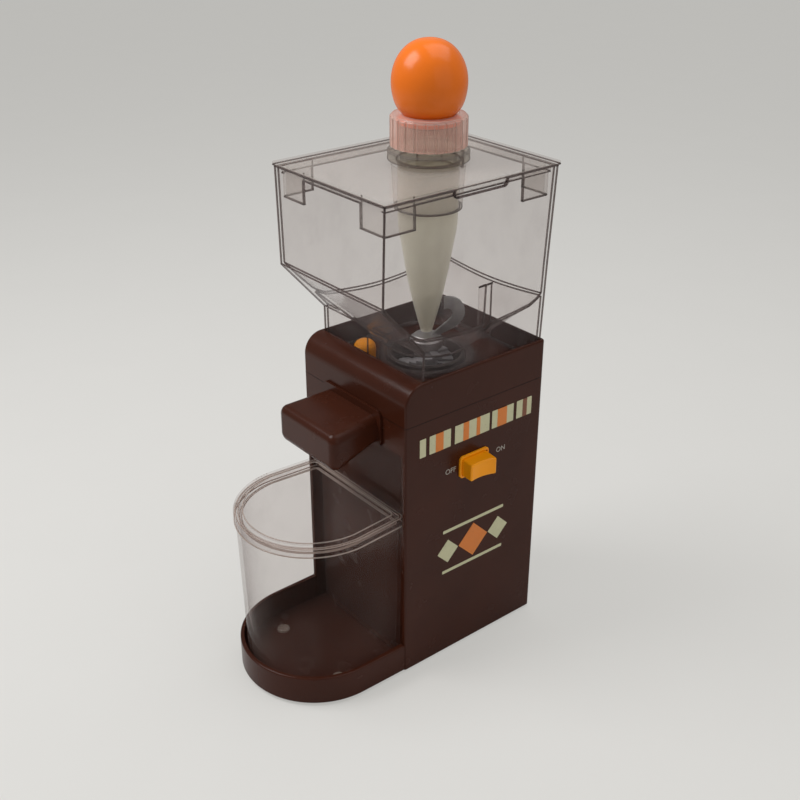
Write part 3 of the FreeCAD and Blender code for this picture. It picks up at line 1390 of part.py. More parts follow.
def dropper_bulb():
    """Hollow rubber bulb with a flange held between the collar and the neck."""
    foot = neck_top + lift_gap
    rim = collar_cap_top - collar_cap_roof - lift_gap
    neck = bulb_neck_radius
    flange = neck_radius - 0.2

    def curve(inset):
        line = Part.BSplineCurve()
        stations = [(neck, 0.2), (17.2, 3.5), (19.3, 8.8), (bulb_radius, 16.8), (19.1, 24.4),
                    (15.2, 31.8)]
        points = [V(r - inset, 0, collar_cap_top + h) for r, h in stations]
        points += [V(8.6 - inset * 0.5, 0, bulb_top - 1.3 - inset), V(0, 0, bulb_top - inset)]
        line.interpolate(points)
        return line, points

    outer, outer_points = curve(0)
    inner, inner_points = curve(bulb_wall)
    edges = [outer.toShape(), Part.LineSegment(outer_points[-1], inner_points[-1]).toShape(),
             inner.toShape()]
    chain = [inner_points[0], V(neck - bulb_wall, 0, foot), V(flange, 0, foot),
             V(flange, 0, rim), V(neck, 0, rim), outer_points[0]]
    edges += [Part.LineSegment(a, b).toShape() for a, b in zip(chain, chain[1:])]
    bulb = Part.Face(Part.Wire(Part.__sortEdges__(edges))).revolve(V(0, 0, 0), UP, 360)
    bulb.translate(V(0, axis_y, 0))
    return bulb


# Fasteners

def base_screws():
    """Four screws from below into the lower housing's bosses."""
    return group([screw(x, y, base_underside + screw_pocket, 12) for x, y in base_screw_places()])


def seam_screws():
    """Four screws that pull the two housing mouldings together."""
    return group([screw(x, y, seam_z - 10, 13) for x, y in seam_screw_places()])


def pillar_screws():
    """Four screws that hang the gearbox from the deck's pillars."""
    return group([screw(x, y, gear_plate_z, 14) for x, y in pillar_places()])


def gearbox_screws():
    """Four screws through the tub's ears and two that hold the motor."""
    screws = [screw(x, y, gear_plate_z - 8, 10.5) for x, y in tub_screw_places()]
    for x in (-motor_screw_x, motor_screw_x):
        screws.append(screw(x, axis_y, tub_floor_z + tub_floor, 6.0, head_down=False))
    return group(screws)


NODES = [lower_housing, upper_housing, base_tray, rubber_feet, tray_pads, jar, jar_lid,
         spout_cover, discharge_chute, grinding_chamber, chamber_seal, shaft_bush, burr_ring,
         burr_cone, feed_auger, agitator_hook, drive_shaft, output_gear, layshaft_gear,
         motor_pinion, layshaft, gearbox_tub, gearbox_plate, plate_bush, motor_can,
         motor_end_cap, motor_magnets, motor_armature, cooling_fan, switch_frame, rocker_cap,
         switch_base, cord_gland, rectifier_board, release_button, button_spring,
         button_bracket, hopper, hopper_lid, dropper_vial, dropper_collar, dropper_bulb,
         base_screws, seam_screws, pillar_screws, gearbox_screws]


def main():
    """Build every node, centre the whole and write each piece as parts/NODE.step."""
    os.makedirs("parts", exist_ok=True)
    pieces = {make.__name__: make() for make in NODES}
    move = centring_move(list(pieces.values()))
    for node, piece in pieces.items():
        piece.translate(move)
        piece.exportStep("parts/" + node + ".step")


main()
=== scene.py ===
"""Looks for an upright electric peanut grinder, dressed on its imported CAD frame.

Every class below is one sub-assembly of the machine. Sizes are given in millimetres in the
housing's own terms (across from its middle plane, back from its front face, up from the table)
and the Datum class turns them into metres in the frame's axes.
"""

import logging
import math
from dataclasses import dataclass
from enum import Enum
from typing import Any, Optional, Sequence, Union

import bmesh
import bpy
from mathutils import Matrix, Vector


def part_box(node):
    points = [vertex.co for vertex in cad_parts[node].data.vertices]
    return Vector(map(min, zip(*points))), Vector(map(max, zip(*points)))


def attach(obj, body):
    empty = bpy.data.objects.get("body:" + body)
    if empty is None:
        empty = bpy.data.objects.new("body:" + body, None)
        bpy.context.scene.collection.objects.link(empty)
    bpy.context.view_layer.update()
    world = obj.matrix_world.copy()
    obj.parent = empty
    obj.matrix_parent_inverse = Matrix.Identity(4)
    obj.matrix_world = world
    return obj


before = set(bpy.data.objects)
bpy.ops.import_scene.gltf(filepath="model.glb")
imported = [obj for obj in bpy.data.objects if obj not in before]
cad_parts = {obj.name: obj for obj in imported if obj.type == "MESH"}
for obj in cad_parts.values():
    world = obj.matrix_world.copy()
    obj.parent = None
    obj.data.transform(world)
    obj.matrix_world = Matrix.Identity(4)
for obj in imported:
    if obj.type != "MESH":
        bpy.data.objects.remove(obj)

LOG = logging.getLogger("peanut_grinder")
MM = 0.001
WELD = 4e-6  # metres between vertices that count as one
SLIVER = 2e-6  # metres of an edge too short to keep
FLAT_TURN = 0.6  # degrees between faces that count as one plane
BEAD_SIDES = 6
BEAD_SMOOTH = 80.0  # degrees up to which a bead is shaded smooth
CORNER_SEGMENTS = 4
CLEAR_FADE = 400.0  # share per metre at which the frosting ends
DUST_COLOUR = (0.42, 0.36, 0.31)
CAPITAL_SHARE = 0.72  # height of a capital as a share of the font's size
INK_SUNK = 0.02  # millimetres by which a printed block reaches into the panel
PICTURE_PIXELS = 800.0
SENSOR_WIDTH = 36.0  # millimetres
Number = Union[int, float]
Colour = tuple[float, float, float]


class Body(str, Enum):
    """The moving bodies that pieces ride on."""

    HOUSING = "housing"
    ROCKER = "rocker"
    BUTTON = "button"
    SPOUT = "spout"
    JAR = "jar"
    JAR_LID = "jar_lid"
    HOPPER = "hopper"
    HOPPER_LID = "hopper_lid"
    DROPPER = "dropper"
    DROPPER_CAP = "dropper_cap"


@dataclass(frozen=True)
class Datum:
    """Where the housing stands in the frame.

    Attributes:
        middle_x: The housing's middle plane, in metres.
        front_y: The housing's front face, in metres.
        panel_x: The switch panel's face, in metres.
    """

    middle_x: float
    front_y: float
    panel_x: float

    @classmethod
    def from_frame(cls) -> "Datum":
        """Measure the housing's CAD box.

        Returns:
            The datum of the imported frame.
        """
        low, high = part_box("lower_housing")
        return cls((low.x + high.x) / 2, low.y, high.x)

    def at(self, across: Number, back: Number, up: Number) -> Vector:
        """Place a point.

        Args:
            across: Millimetres from the middle plane, positive towards the switch.
            back: Millimetres behind the front face.
            up: Millimetres above the table.

        Returns:
            The point in the frame's axes, in metres.
        """
        return Vector((self.middle_x + across * MM, self.front_y + back * MM, up * MM))

    def on_panel(self, back: Number, up: Number, proud: Number = 0.0) -> Vector:
        """Place a point on the switch panel, standing proud of it by some millimetres."""
        return Vector((self.panel_x + proud * MM, self.front_y + back * MM, up * MM))


class Signal:
    """A shader socket that takes part in arithmetic: each operator adds its Math node."""

    def __init__(self, recipe: "Recipe", socket: bpy.types.NodeSocket) -> None:
        """Wrap one output socket of a recipe's node tree."""
        self.recipe = recipe
        self.socket = socket

    def _math(self, operation: str, first: Any, second: Any) -> "Signal":
        """Add a Math node.

        Args:
            operation: The node's operation.
            first: Its first value.
            second: Its second value.

        Returns:
            The node's result.
        """
        return self.recipe.node("ShaderNodeMath", {"operation": operation},
                                {0: first, 1: second})[0]

    def __add__(self, other: Any) -> "Signal":
        """Sum."""
        return self._math("ADD", self, other)

    def __sub__(self, other: Any) -> "Signal":
        """Difference."""
        return self._math("SUBTRACT", self, other)

    def __mul__(self, other: Any) -> "Signal":
        """Product."""
        return self._math("MULTIPLY", self, other)

    def __pow__(self, other: Any) -> "Signal":
        """Power."""
        return self._math("POWER", self, other)

    def clamped(self) -> "Signal":
        """Limit to the range from zero to one."""
        return self._math("MINIMUM", self._math("MAXIMUM", self, 0.0), 1.0)


class NodeHandle:
    """A node whose outputs are read as Signals by index or by name."""

    def __init__(self, recipe: "Recipe", node: bpy.types.Node) -> None:
        """Wrap a node."""
        self.recipe = recipe
        self.node = node

    def __getitem__(self, key: Union[int, str]) -> Signal:
        """One output of the node."""
        return Signal(self.recipe, self.node.outputs[key])


class Recipe:
    """One material's node tree and the calls that grow it."""

    def __init__(self, name: str) -> None:
        """Start an empty tree with nothing but its output."""
        self.material = bpy.data.materials.new(name)
        self.material.use_nodes = True
        self.tree = self.material.node_tree
        self.tree.nodes.clear()
        self.output = self.tree.nodes.new("ShaderNodeOutputMaterial")
        self._place: Optional[Signal] = None

    @property
    def place(self) -> Signal:
        """The surface point in Object coordinates."""
        if self._place is None:
            self._place = self.node("ShaderNodeTexCoord", {}, {})["Object"]
        return self._place

    def node(self, kind: str, settings: dict[str, Any],
             inputs: dict[Union[int, str], Any]) -> NodeHandle:
        """Add any node.

        Args:
            kind: The node's type name.
            settings: Properties set first, with "stops" for a ramp's positions and colours.
            inputs: A value or a Signal for each input socket.

        Returns:
            The node, read as Signals.
        """
        made = self.tree.nodes.new(kind)
        for name, value in settings.items():
            if name == "stops":
                ramp = made.color_ramp
                while len(ramp.elements) < len(value):
                    ramp.elements.new(0.5)
                for element, (position, colour) in zip(ramp.elements, value):
                    element.position = position
                    element.color = (*colour, 1.0)
            else:
                setattr(made, name, value)
        for key, value in inputs.items():
            if isinstance(value, Signal):
                self.tree.links.new(value.socket, made.inputs[key])
            else:
                made.inputs[key].default_value = value
        return NodeHandle(self, made)

    def noise(self, scale: Number, detail: Number = 2.0,
              stretch: Sequence[Number] = (1, 1, 1)) -> Signal:
        """Noise over the surface.

        Args:
            scale: Cells per metre.
            detail: Octaves.
            stretch: Factor along each axis.

        Returns:
            A value around one half.
        """
        mapped = self.node("ShaderNodeMapping", {},
                           {"Vector": self.place, "Scale": tuple(stretch)})
        return self.node("ShaderNodeTexNoise", {}, {
            "Vector": mapped[0], "Scale": float(scale), "Detail": float(detail)})[0]

    def mix(self, factor: Any, first: Any, second: Any) -> Signal:
        """Mix two colours.

        Args:
            factor: Share of the second.
            first: A colour or Signal.
            second: A colour or Signal.

        Returns:
            The mixed colour.
        """
        return self.node("ShaderNodeMix", {"data_type": "RGBA"},
                         {0: factor, 6: rgba(first), 7: rgba(second)})[2]

    def ramp(self, value: Signal, stops: Sequence[tuple[float, Colour]]) -> Signal:
        """Turn a value into a colour by stops."""
        return self.node("ShaderNodeValToRGB", {"stops": list(stops)}, {0: value})[0]

    def bump(self, height: Signal, distance: Number, under: Optional[Signal] = None) -> Signal:
        """Turn a height into a normal.

        Args:
            height: The height, from zero to one.
            distance: Its depth in metres.
            under: A normal that this one is added to.

        Returns:
            The normal.
        """
        inputs = {"Height": height, "Distance": float(distance), "Strength": 1.0}
        if under is not None:
            inputs["Normal"] = under
        return self.node("ShaderNodeBump", {}, inputs)[0]

    def surface(self, **sockets: Any) -> Signal:
        """Add a Principled shader; underscores in names stand for spaces."""
        inputs = {name.replace("_", " "): value for name, value in sockets.items()}
        return self.node("ShaderNodeBsdfPrincipled", {}, inputs)[0]

    def finish(self, shader: Signal) -> bpy.types.Material:
        """Connect the surface and hand the material over."""
        self.tree.links.new(shader.socket, self.output.inputs["Surface"])
        return self.material


def rgba(value: Any) -> Any:
    """A plain colour with full alpha, or a Signal as it is."""
    return value if isinstance(value, Signal) else (*value, 1.0)


def shaded(colour: Colour, factor: float) -> Colour:
    """A colour made darker or paler by a factor, at most white."""
    return tuple(min(1.0, channel * factor) for channel in colour)


@dataclass(frozen=True)
class MouldedPlastic:
    """Opaque moulded plastic: faint flow mottling, gloss that varies, fine dust.

    Attributes:
        name: The material's name.
        colour: Base colour.
        gloss_low: Roughness where the mould was polished best.
        gloss_high: Roughness where it is dullest.
        ripple: Depth of the slow waviness of a moulded wall, in metres.
        grain: Depth of the fine mould texture, in metres.
        grain_scale: Texture cells per metre.
        dust: Share of pale dust on the surface.
        specular: Strength of the mirror-like sheen.
    """

    name: str
    colour: Colour
    gloss_low: float = 0.2
    gloss_high: float = 0.3
    ripple: float = 0.00003
    grain: float = 0.000008
    grain_scale: float = 1900.0
    dust: float = 0.015
    specular: float = 0.5

    def build(self) -> bpy.types.Material:
        """Make the material.

        Returns:
            The finished material.
        """
        recipe = Recipe(self.name)
        flow = recipe.noise(24.0, 2.0)
        specks = recipe.noise(2600.0, 1.0)
        smear = recipe.noise(60.0, 4.0)
        dark, pale = shaded(self.colour, 0.9), shaded(self.colour, 1.1)
        base = recipe.ramp(flow, [(0.3, dark), (0.7, pale)])
        dusty = ((specks - 0.66) * 9.0).clamped() * self.dust
        colour = recipe.mix(dusty, base, DUST_COLOUR)
        roughness = (smear - 0.3) * (2.2 * (self.gloss_high - self.gloss_low)) + self.gloss_low
        grain = recipe.noise(self.grain_scale, 2.0)
        normal = recipe.bump(grain, self.grain, recipe.bump(flow, self.ripple))
        return recipe.finish(recipe.surface(
            Base_Color=colour, Roughness=roughness, Normal=normal, IOR=1.5,
            Specular_IOR_Level=self.specular))


@dataclass(frozen=True)
class ClearPlastic:
    """Thin clear plastic: it lets the light through tinted, and shows more of itself edge on.

    Attributes:
        name: The material's name.
        tint: Share of light that passes each face.
        body: Colour of the plastic where it shows.
        veil: Share of the surface that shows face on.
        edge: Share added edge on.
        sharpness: How narrow the edge darkening is.
        roughness: Gloss of the surface.
        scuffs: Share added by scuffs and film.
        clear_above: Height in metres above which the surface was left unfrosted.
        clear_body: Colour of the plastic where it was left unfrosted.
        clear_veil: Share of the unfrosted surface that shows face on.
    """

    name: str
    tint: Colour = (0.968, 0.958, 0.955)
    body: Colour = (0.30, 0.255, 0.25)
    veil: float = 0.035
    edge: float = 0.55
    sharpness: float = 4.0
    roughness: float = 0.06
    scuffs: float = 0.05
    clear_above: Optional[float] = None
    clear_body: Colour = (0.34, 0.29, 0.27)
    clear_veil: float = 0.1

    def build(self) -> bpy.types.Material:
        """Make the material.

        Returns:
            The finished material.
        """
        recipe = Recipe(self.name)
        facing = recipe.node("ShaderNodeLayerWeight", {}, {"Blend": 0.5})["Facing"]
        film = recipe.noise(55.0, 4.0, (1.0, 1.0, 0.6))
        scratch = recipe.noise(900.0, 2.0, (0.25, 0.25, 1.0))
        marks = ((film - 0.52) * 4.0).clamped() * self.scuffs
        fine = ((scratch - 0.62) * 6.0).clamped() * (self.scuffs * 0.6)
        veil: Any = self.veil
        base = recipe.mix(film, self.body, tuple(c * 1.25 for c in self.body))
        if self.clear_above is not None:
            height = recipe.node("ShaderNodeSeparateXYZ", {}, {"Vector": recipe.place})["Z"]
            plain = ((height - self.clear_above) * CLEAR_FADE).clamped()
            veil = plain * (self.clear_veil - self.veil) + self.veil
            base = recipe.mix(plain, base, self.clear_body)
        shown = (facing ** self.sharpness * self.edge + veil + marks + fine).clamped()
        ripple = recipe.bump(recipe.noise(60.0, 2.0), 0.00006)
        gloss = recipe.surface(Base_Color=base, Roughness=film * 0.08 + self.roughness,
                               Normal=ripple, IOR=1.55)
        through = recipe.node("ShaderNodeBsdfTransparent", {}, {"Color": rgba(self.tint)})[0]
        mixed = recipe.node("ShaderNodeMixShader", {}, {0: shown, 1: through, 2: gloss})[0]
        return recipe.finish(mixed)


@dataclass(frozen=True)
class TurnedMetal:
    """Machined or cast metal with fine tool marks and dull patches.

    Attributes:
        name: The material's name.
        colour: Base colour.
        roughness: Gloss between the marks.
        marks: Stretch of the tool marks along each axis.
        depth: Depth of the marks, in metres.
        metallic: Metal share.
    """

    name: str
    colour: Colour
    roughness: float = 0.3
    marks: tuple[float, float, float] = (1.0, 1.0, 14.0)
    depth: float = 0.000015
    metallic: float = 1.0

    def build(self) -> bpy.types.Material:
        """Make the material.

        Returns:
            The finished material.
        """
        recipe = Recipe(self.name)
        lines = recipe.noise(420.0, 3.0, self.marks)
        patches = recipe.noise(160.0, 3.0)
        colour = recipe.ramp(patches, [(0.3, shaded(self.colour, 0.72)), (0.65, self.colour)])
        return recipe.finish(recipe.surface(
            Base_Color=colour, Roughness=patches * 0.25 + lines * 0.12 + (self.roughness - 0.15),
            Metallic=self.metallic, Normal=recipe.bump(lines, self.depth)))


@dataclass(frozen=True)
class SoftRubber:
    """Moulded rubber: a smooth skin with bloom, pits and a soft sheen.

    Attributes:
        name: The material's name.
        colour: Base colour.
        roughness: Middle roughness.
        bloom: Share of paler bloom.
        specular: Strength of the mirror-like sheen.
    """

    name: str
    colour: Colour
    roughness: float = 0.38
    bloom: float = 0.12
    specular: float = 0.5

    def build(self) -> bpy.types.Material:
        """Make the material.

        Returns:
            The finished material.
        """
        recipe = Recipe(self.name)
        cloud = recipe.noise(70.0, 4.0)
        pits = recipe.noise(1500.0, 2.0)
        pale = tuple(min(1.0, c * 0.8 + 0.12) for c in self.colour)
        specks = ((recipe.noise(700.0, 1.0) - 0.68) * 10.0).clamped()
        colour = recipe.mix(cloud * self.bloom + specks * 0.06, self.colour, pale)
        return recipe.finish(recipe.surface(
            Base_Color=colour, Roughness=cloud * 0.16 + (self.roughness - 0.08),
            Normal=recipe.bump(pits, 0.000012), IOR=1.45, Specular_IOR_Level=self.specular))


@dataclass(frozen=True)
class PrintedInk:
    """Pad-printed ink, thin and slightly worn.

    Attributes:
        name: The material's name.
        colour: Ink colour.
        under: Colour that shows where it has worn thin.
    """

    name: str
    colour: Colour
    under: Colour = (0.09, 0.04, 0.03)

    def build(self) -> bpy.types.Material:
        """Make the material.

        Returns:
            The finished material.
        """
        recipe = Recipe(self.name)
        wear = recipe.noise(900.0, 4.0)
        thin = ((wear - 0.64) * 7.0).clamped() * 0.5
        shade = recipe.mix(recipe.noise(200.0, 3.0), self.colour, shaded(self.colour, 0.86))
        return recipe.finish(recipe.surface(
            Base_Color=recipe.mix(thin, shade, self.under), Roughness=wear * 0.2 + 0.32,
            Normal=recipe.bump(wear, 0.00001)))


@dataclass(frozen=True)
class Palette:
    """Every finish of the machine, built once."""

    brown: bpy.types.Material
    seam: bpy.types.Material
    clear: bpy.types.Material
    # painted shade: dark lines along the edges of clear mouldings
    edge: bpy.types.Material
    # painted highlight: pale lines along the edges of clear mouldings
    pale_edge: bpy.types.Material
    jar: bpy.types.Material
    lid: bpy.types.Material
    pad: bpy.types.Material
    frosted: bpy.types.Material
    collar: bpy.types.Material
    bulb: bpy.types.Material
    rocker: bpy.types.Material
    rubber: bpy.types.Material
    nylon: bpy.types.Material
    acetal: bpy.types.Material
    grey: bpy.types.Material
    hook: bpy.types.Material
    steel: bpy.types.Material
    bronze: bpy.types.Material
    ferrite: bpy.types.Material
    board: bpy.types.Material
    cream_ink: bpy.types.Material
    orange_ink: bpy.types.Material
    brown_ink: bpy.types.Material
    word_ink: bpy.types.Material

    @classmethod
    def mixed(cls) -> "Palette":
        """Build every finish.

        Returns:
            The palette.
        """
        return cls(
            brown=MouldedPlastic("brown_moulding", (0.046, 0.0118, 0.0056),
                                 specular=0.15).build(),
            seam=MouldedPlastic("seam_shadow", (0.008, 0.003, 0.002), gloss_low=0.5,
                                gloss_high=0.6, specular=0.1).build(),
            clear=ClearPlastic("smoky_clear").build(),
            jar=ClearPlastic("smoky_jar", body=(0.20, 0.15, 0.135), veil=0.02,
                             scuffs=0.03).build(),
            lid=ClearPlastic("milky_tabs", body=(0.58, 0.55, 0.50), veil=0.16, scuffs=0.04,
                             clear_above=0.2922, clear_veil=0.03).build(),
            pad=ClearPlastic("clear_pad", tint=(0.80, 0.76, 0.72), body=(0.42, 0.35, 0.30),
                             veil=0.4).build(),
            # painted shade lines for the edges of clear mouldings
            edge=ClearPlastic("painted_shade_edge", tint=(0.72, 0.67, 0.66), body=(0.085, 0.06, 0.056),
                              veil=0.42, edge=0.4, sharpness=2.0, roughness=0.1,
                              scuffs=0.0).build(),
            # painted highlight lines for the edges of clear mouldings
            pale_edge=ClearPlastic("pale_edge", tint=(0.86, 0.82, 0.80), body=(0.62, 0.53, 0.47),
                                   veil=0.34, edge=0.5, sharpness=2.0, roughness=0.1,
                                   scuffs=0.0).build(),
            frosted=ClearPlastic("frosted_vial", tint=(0.90, 0.89, 0.85), body=(0.80, 0.78, 0.68),
                                 veil=0.40, edge=0.30, sharpness=1.8, roughness=0.42,
                                 clear_above=0.2885).build(),
            collar=ClearPlastic("clear_collar", tint=(0.97, 0.92, 0.90), body=(0.90, 0.57, 0.48),
                                veil=0.26, edge=0.4, sharpness=2.2, roughness=0.12).build(),
            bulb=SoftRubber("orange_bulb", (0.80, 0.165, 0.010), roughness=0.24, bloom=0.01,
                            specular=0.3).build(),
            rocker=MouldedPlastic("orange_rocker", (0.96, 0.33, 0.003), gloss_low=0.26,
                                  gloss_high=0.4, ripple=0.00004, dust=0.01,
                                  specular=0.25).build(),
            rubber=SoftRubber("black_rubber", (0.02, 0.018, 0.018), roughness=0.6).build(),
            nylon=MouldedPlastic("dark_nylon", (0.03, 0.022, 0.02), gloss_low=0.4,
                                 gloss_high=0.55).build(),
            acetal=MouldedPlastic("white_acetal", (0.66, 0.64, 0.58), gloss_low=0.35,
                                  gloss_high=0.5, dust=0.0).build(),
            grey=MouldedPlastic("grey_acetal", (0.22, 0.22, 0.23), gloss_low=0.35,
                                gloss_high=0.5, dust=0.0).build(),
            hook=TurnedMetal("cast_hook", (0.50, 0.49, 0.49), roughness=0.42,
                             marks=(1.0, 1.0, 1.0)).build(),
            steel=TurnedMetal("turned_steel", (0.5, 0.5, 0.52)).build(),
            bronze=TurnedMetal("sintered_bronze", (0.55, 0.36, 0.16), roughness=0.4).build(),
            ferrite=TurnedMetal("ferrite", (0.06, 0.06, 0.065), roughness=0.6,
                                metallic=0.4).build(),
            board=MouldedPlastic("circuit_board", (0.02, 0.12, 0.05), gloss_low=0.3,
                                 gloss_high=0.5).build(),
            cream_ink=PrintedInk("cream_ink", (0.60, 0.58, 0.36)).build(),
            orange_ink=PrintedInk("orange_ink", (0.72, 0.20, 0.02)).build(),
            brown_ink=PrintedInk("brown_ink", (0.20, 0.06, 0.02)).build(),
            word_ink=PrintedInk("word_ink", (0.42, 0.39, 0.34)).build())


def dress(material: bpy.types.Material, *nodes: str) -> None:
    """Give CAD nodes a finish.

    Args:
        material: The finish.
        nodes: The nodes' names.
    """
    for name in nodes:
        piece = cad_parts[name]
        if not piece.material_slots:
            piece.data.materials.append(material)
        for slot in piece.material_slots:
            slot.material = material
        LOG.info("dressed %s with %s", name, material.name)


def new_piece(name: str, mesh: bmesh.types.BMesh, material: bpy.types.Material, body: Body,
              smooth_angle: float = 35.0) -> bpy.types.Object:
    """Turn a bmesh into a piece that rides on a body.

    Args:
        name: The piece's name.
        mesh: Its mesh, in the frame's axes; it is freed.
        material: Its finish.
        body: The body that carries it.
        smooth_angle: Edges sharper than this, in degrees, stay sharp.

    Returns:
        The object.
    """
    bmesh.ops.recalc_face_normals(mesh, faces=mesh.faces)
    limit = math.radians(smooth_angle)
    for edge in mesh.edges:
        edge.smooth = len(edge.link_faces) == 2 and edge.calc_face_angle(0.0) < limit
    for face in mesh.faces:
        face.smooth = True
    data = bpy.data.meshes.new(name)
    mesh.to_mesh(data)
    mesh.free()
    data.materials.append(material)
    piece = bpy.data.objects.new(name, data)
    bpy.context.scene.collection.objects.link(piece)
    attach(piece, body.value)
    LOG.info("made %s on %s: %d faces", name, body.value, len(data.polygons))
    return piece


def painted_light_edge_beads(node: str, body: Body, radius: float, material: bpy.types.Material,
               low: Number = 0.0, turn: float = 35.0, hollows: bool = False) -> bpy.types.Object:
    """Lay a bead inside each crisp outer edge of a clear moulding, where its thickness gathers;
    its finish paints the dark shade line or the pale highlight of that edge.

    Args:
        node: The CAD node.
        body: The body that carries it.
        radius: The bead's radius, in millimetres.
        material: Its finish, which is a painted shade line or a painted highlight.
        low: Lowest height that gets beads, in millimetres.
        turn: How sharp an edge is to get a bead, in degrees.
        hollows: Whether inner corners get beads too.

    Returns:
        The piece.
    """
    wall = bmesh.new()
    wall.from_mesh(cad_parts[node].data)
    bmesh.ops.remove_doubles(wall, verts=wall.verts, dist=WELD)
    bmesh.ops.dissolve_degenerate(wall, dist=SLIVER, edges=wall.edges)
    bmesh.ops.dissolve_limit(wall, angle_limit=math.radians(FLAT_TURN),
                             use_dissolve_boundaries=False, verts=wall.verts,
                             edges=wall.edges, delimit=set())
    # each bead is a painted shade line or a painted highlight along one edge
    beads = bmesh.new()
    for edge in wall.edges:
        if len(edge.link_faces) != 2:
            continue
        bend = edge.calc_face_angle_signed(0.0)
        if (abs(bend) if hollows else bend) < math.radians(turn):
            continue
        ends = [vert.co.copy() for vert in edge.verts]
        middle = (ends[0] + ends[1]) / 2
        if middle.z < low * MM:
            continue
        outward = (edge.link_faces[0].normal + edge.link_faces[1].normal).normalized()
        inward = -outward * radius * MM
        along = ends[1] - ends[0]
        place = (Matrix.Translation(middle + inward)
                 @ along.to_track_quat("Z", "Y").to_matrix().to_4x4())
        bmesh.ops.create_cone(beads, cap_ends=True, segments=BEAD_SIDES, radius1=radius * MM,
                              radius2=radius * MM, depth=along.length, matrix=place)
    wall.free()
    return new_piece(node + "_edges", beads, material, body, BEAD_SMOOTH)


def plate(low: Vector, high: Vector, corner: float) -> bmesh.types.BMesh:
    """Flat block across X between two corners, its outline rounded.

    Args:
        low: Lowest corner.
        high: Highest corner.
        corner: Radius of the outline's corners, in metres.

    Returns:
        The mesh.
    """
    mesh = bmesh.new()
    bmesh.ops.create_cube(mesh, size=1.0)
    bmesh.ops.scale(mesh, vec=high - low, verts=mesh.verts)
    bmesh.ops.translate(mesh, vec=(low + high) / 2, verts=mesh.verts)
    along = [e for e in mesh.edges
             if abs((e.verts[0].co - e.verts[1].co).normalized().x) > 0.99]
    bmesh.ops.bevel(mesh, geom=along, offset=corner, segments=CORNER_SEGMENTS, profile=0.5,
                    affect="EDGES", material=-1)
    return mesh


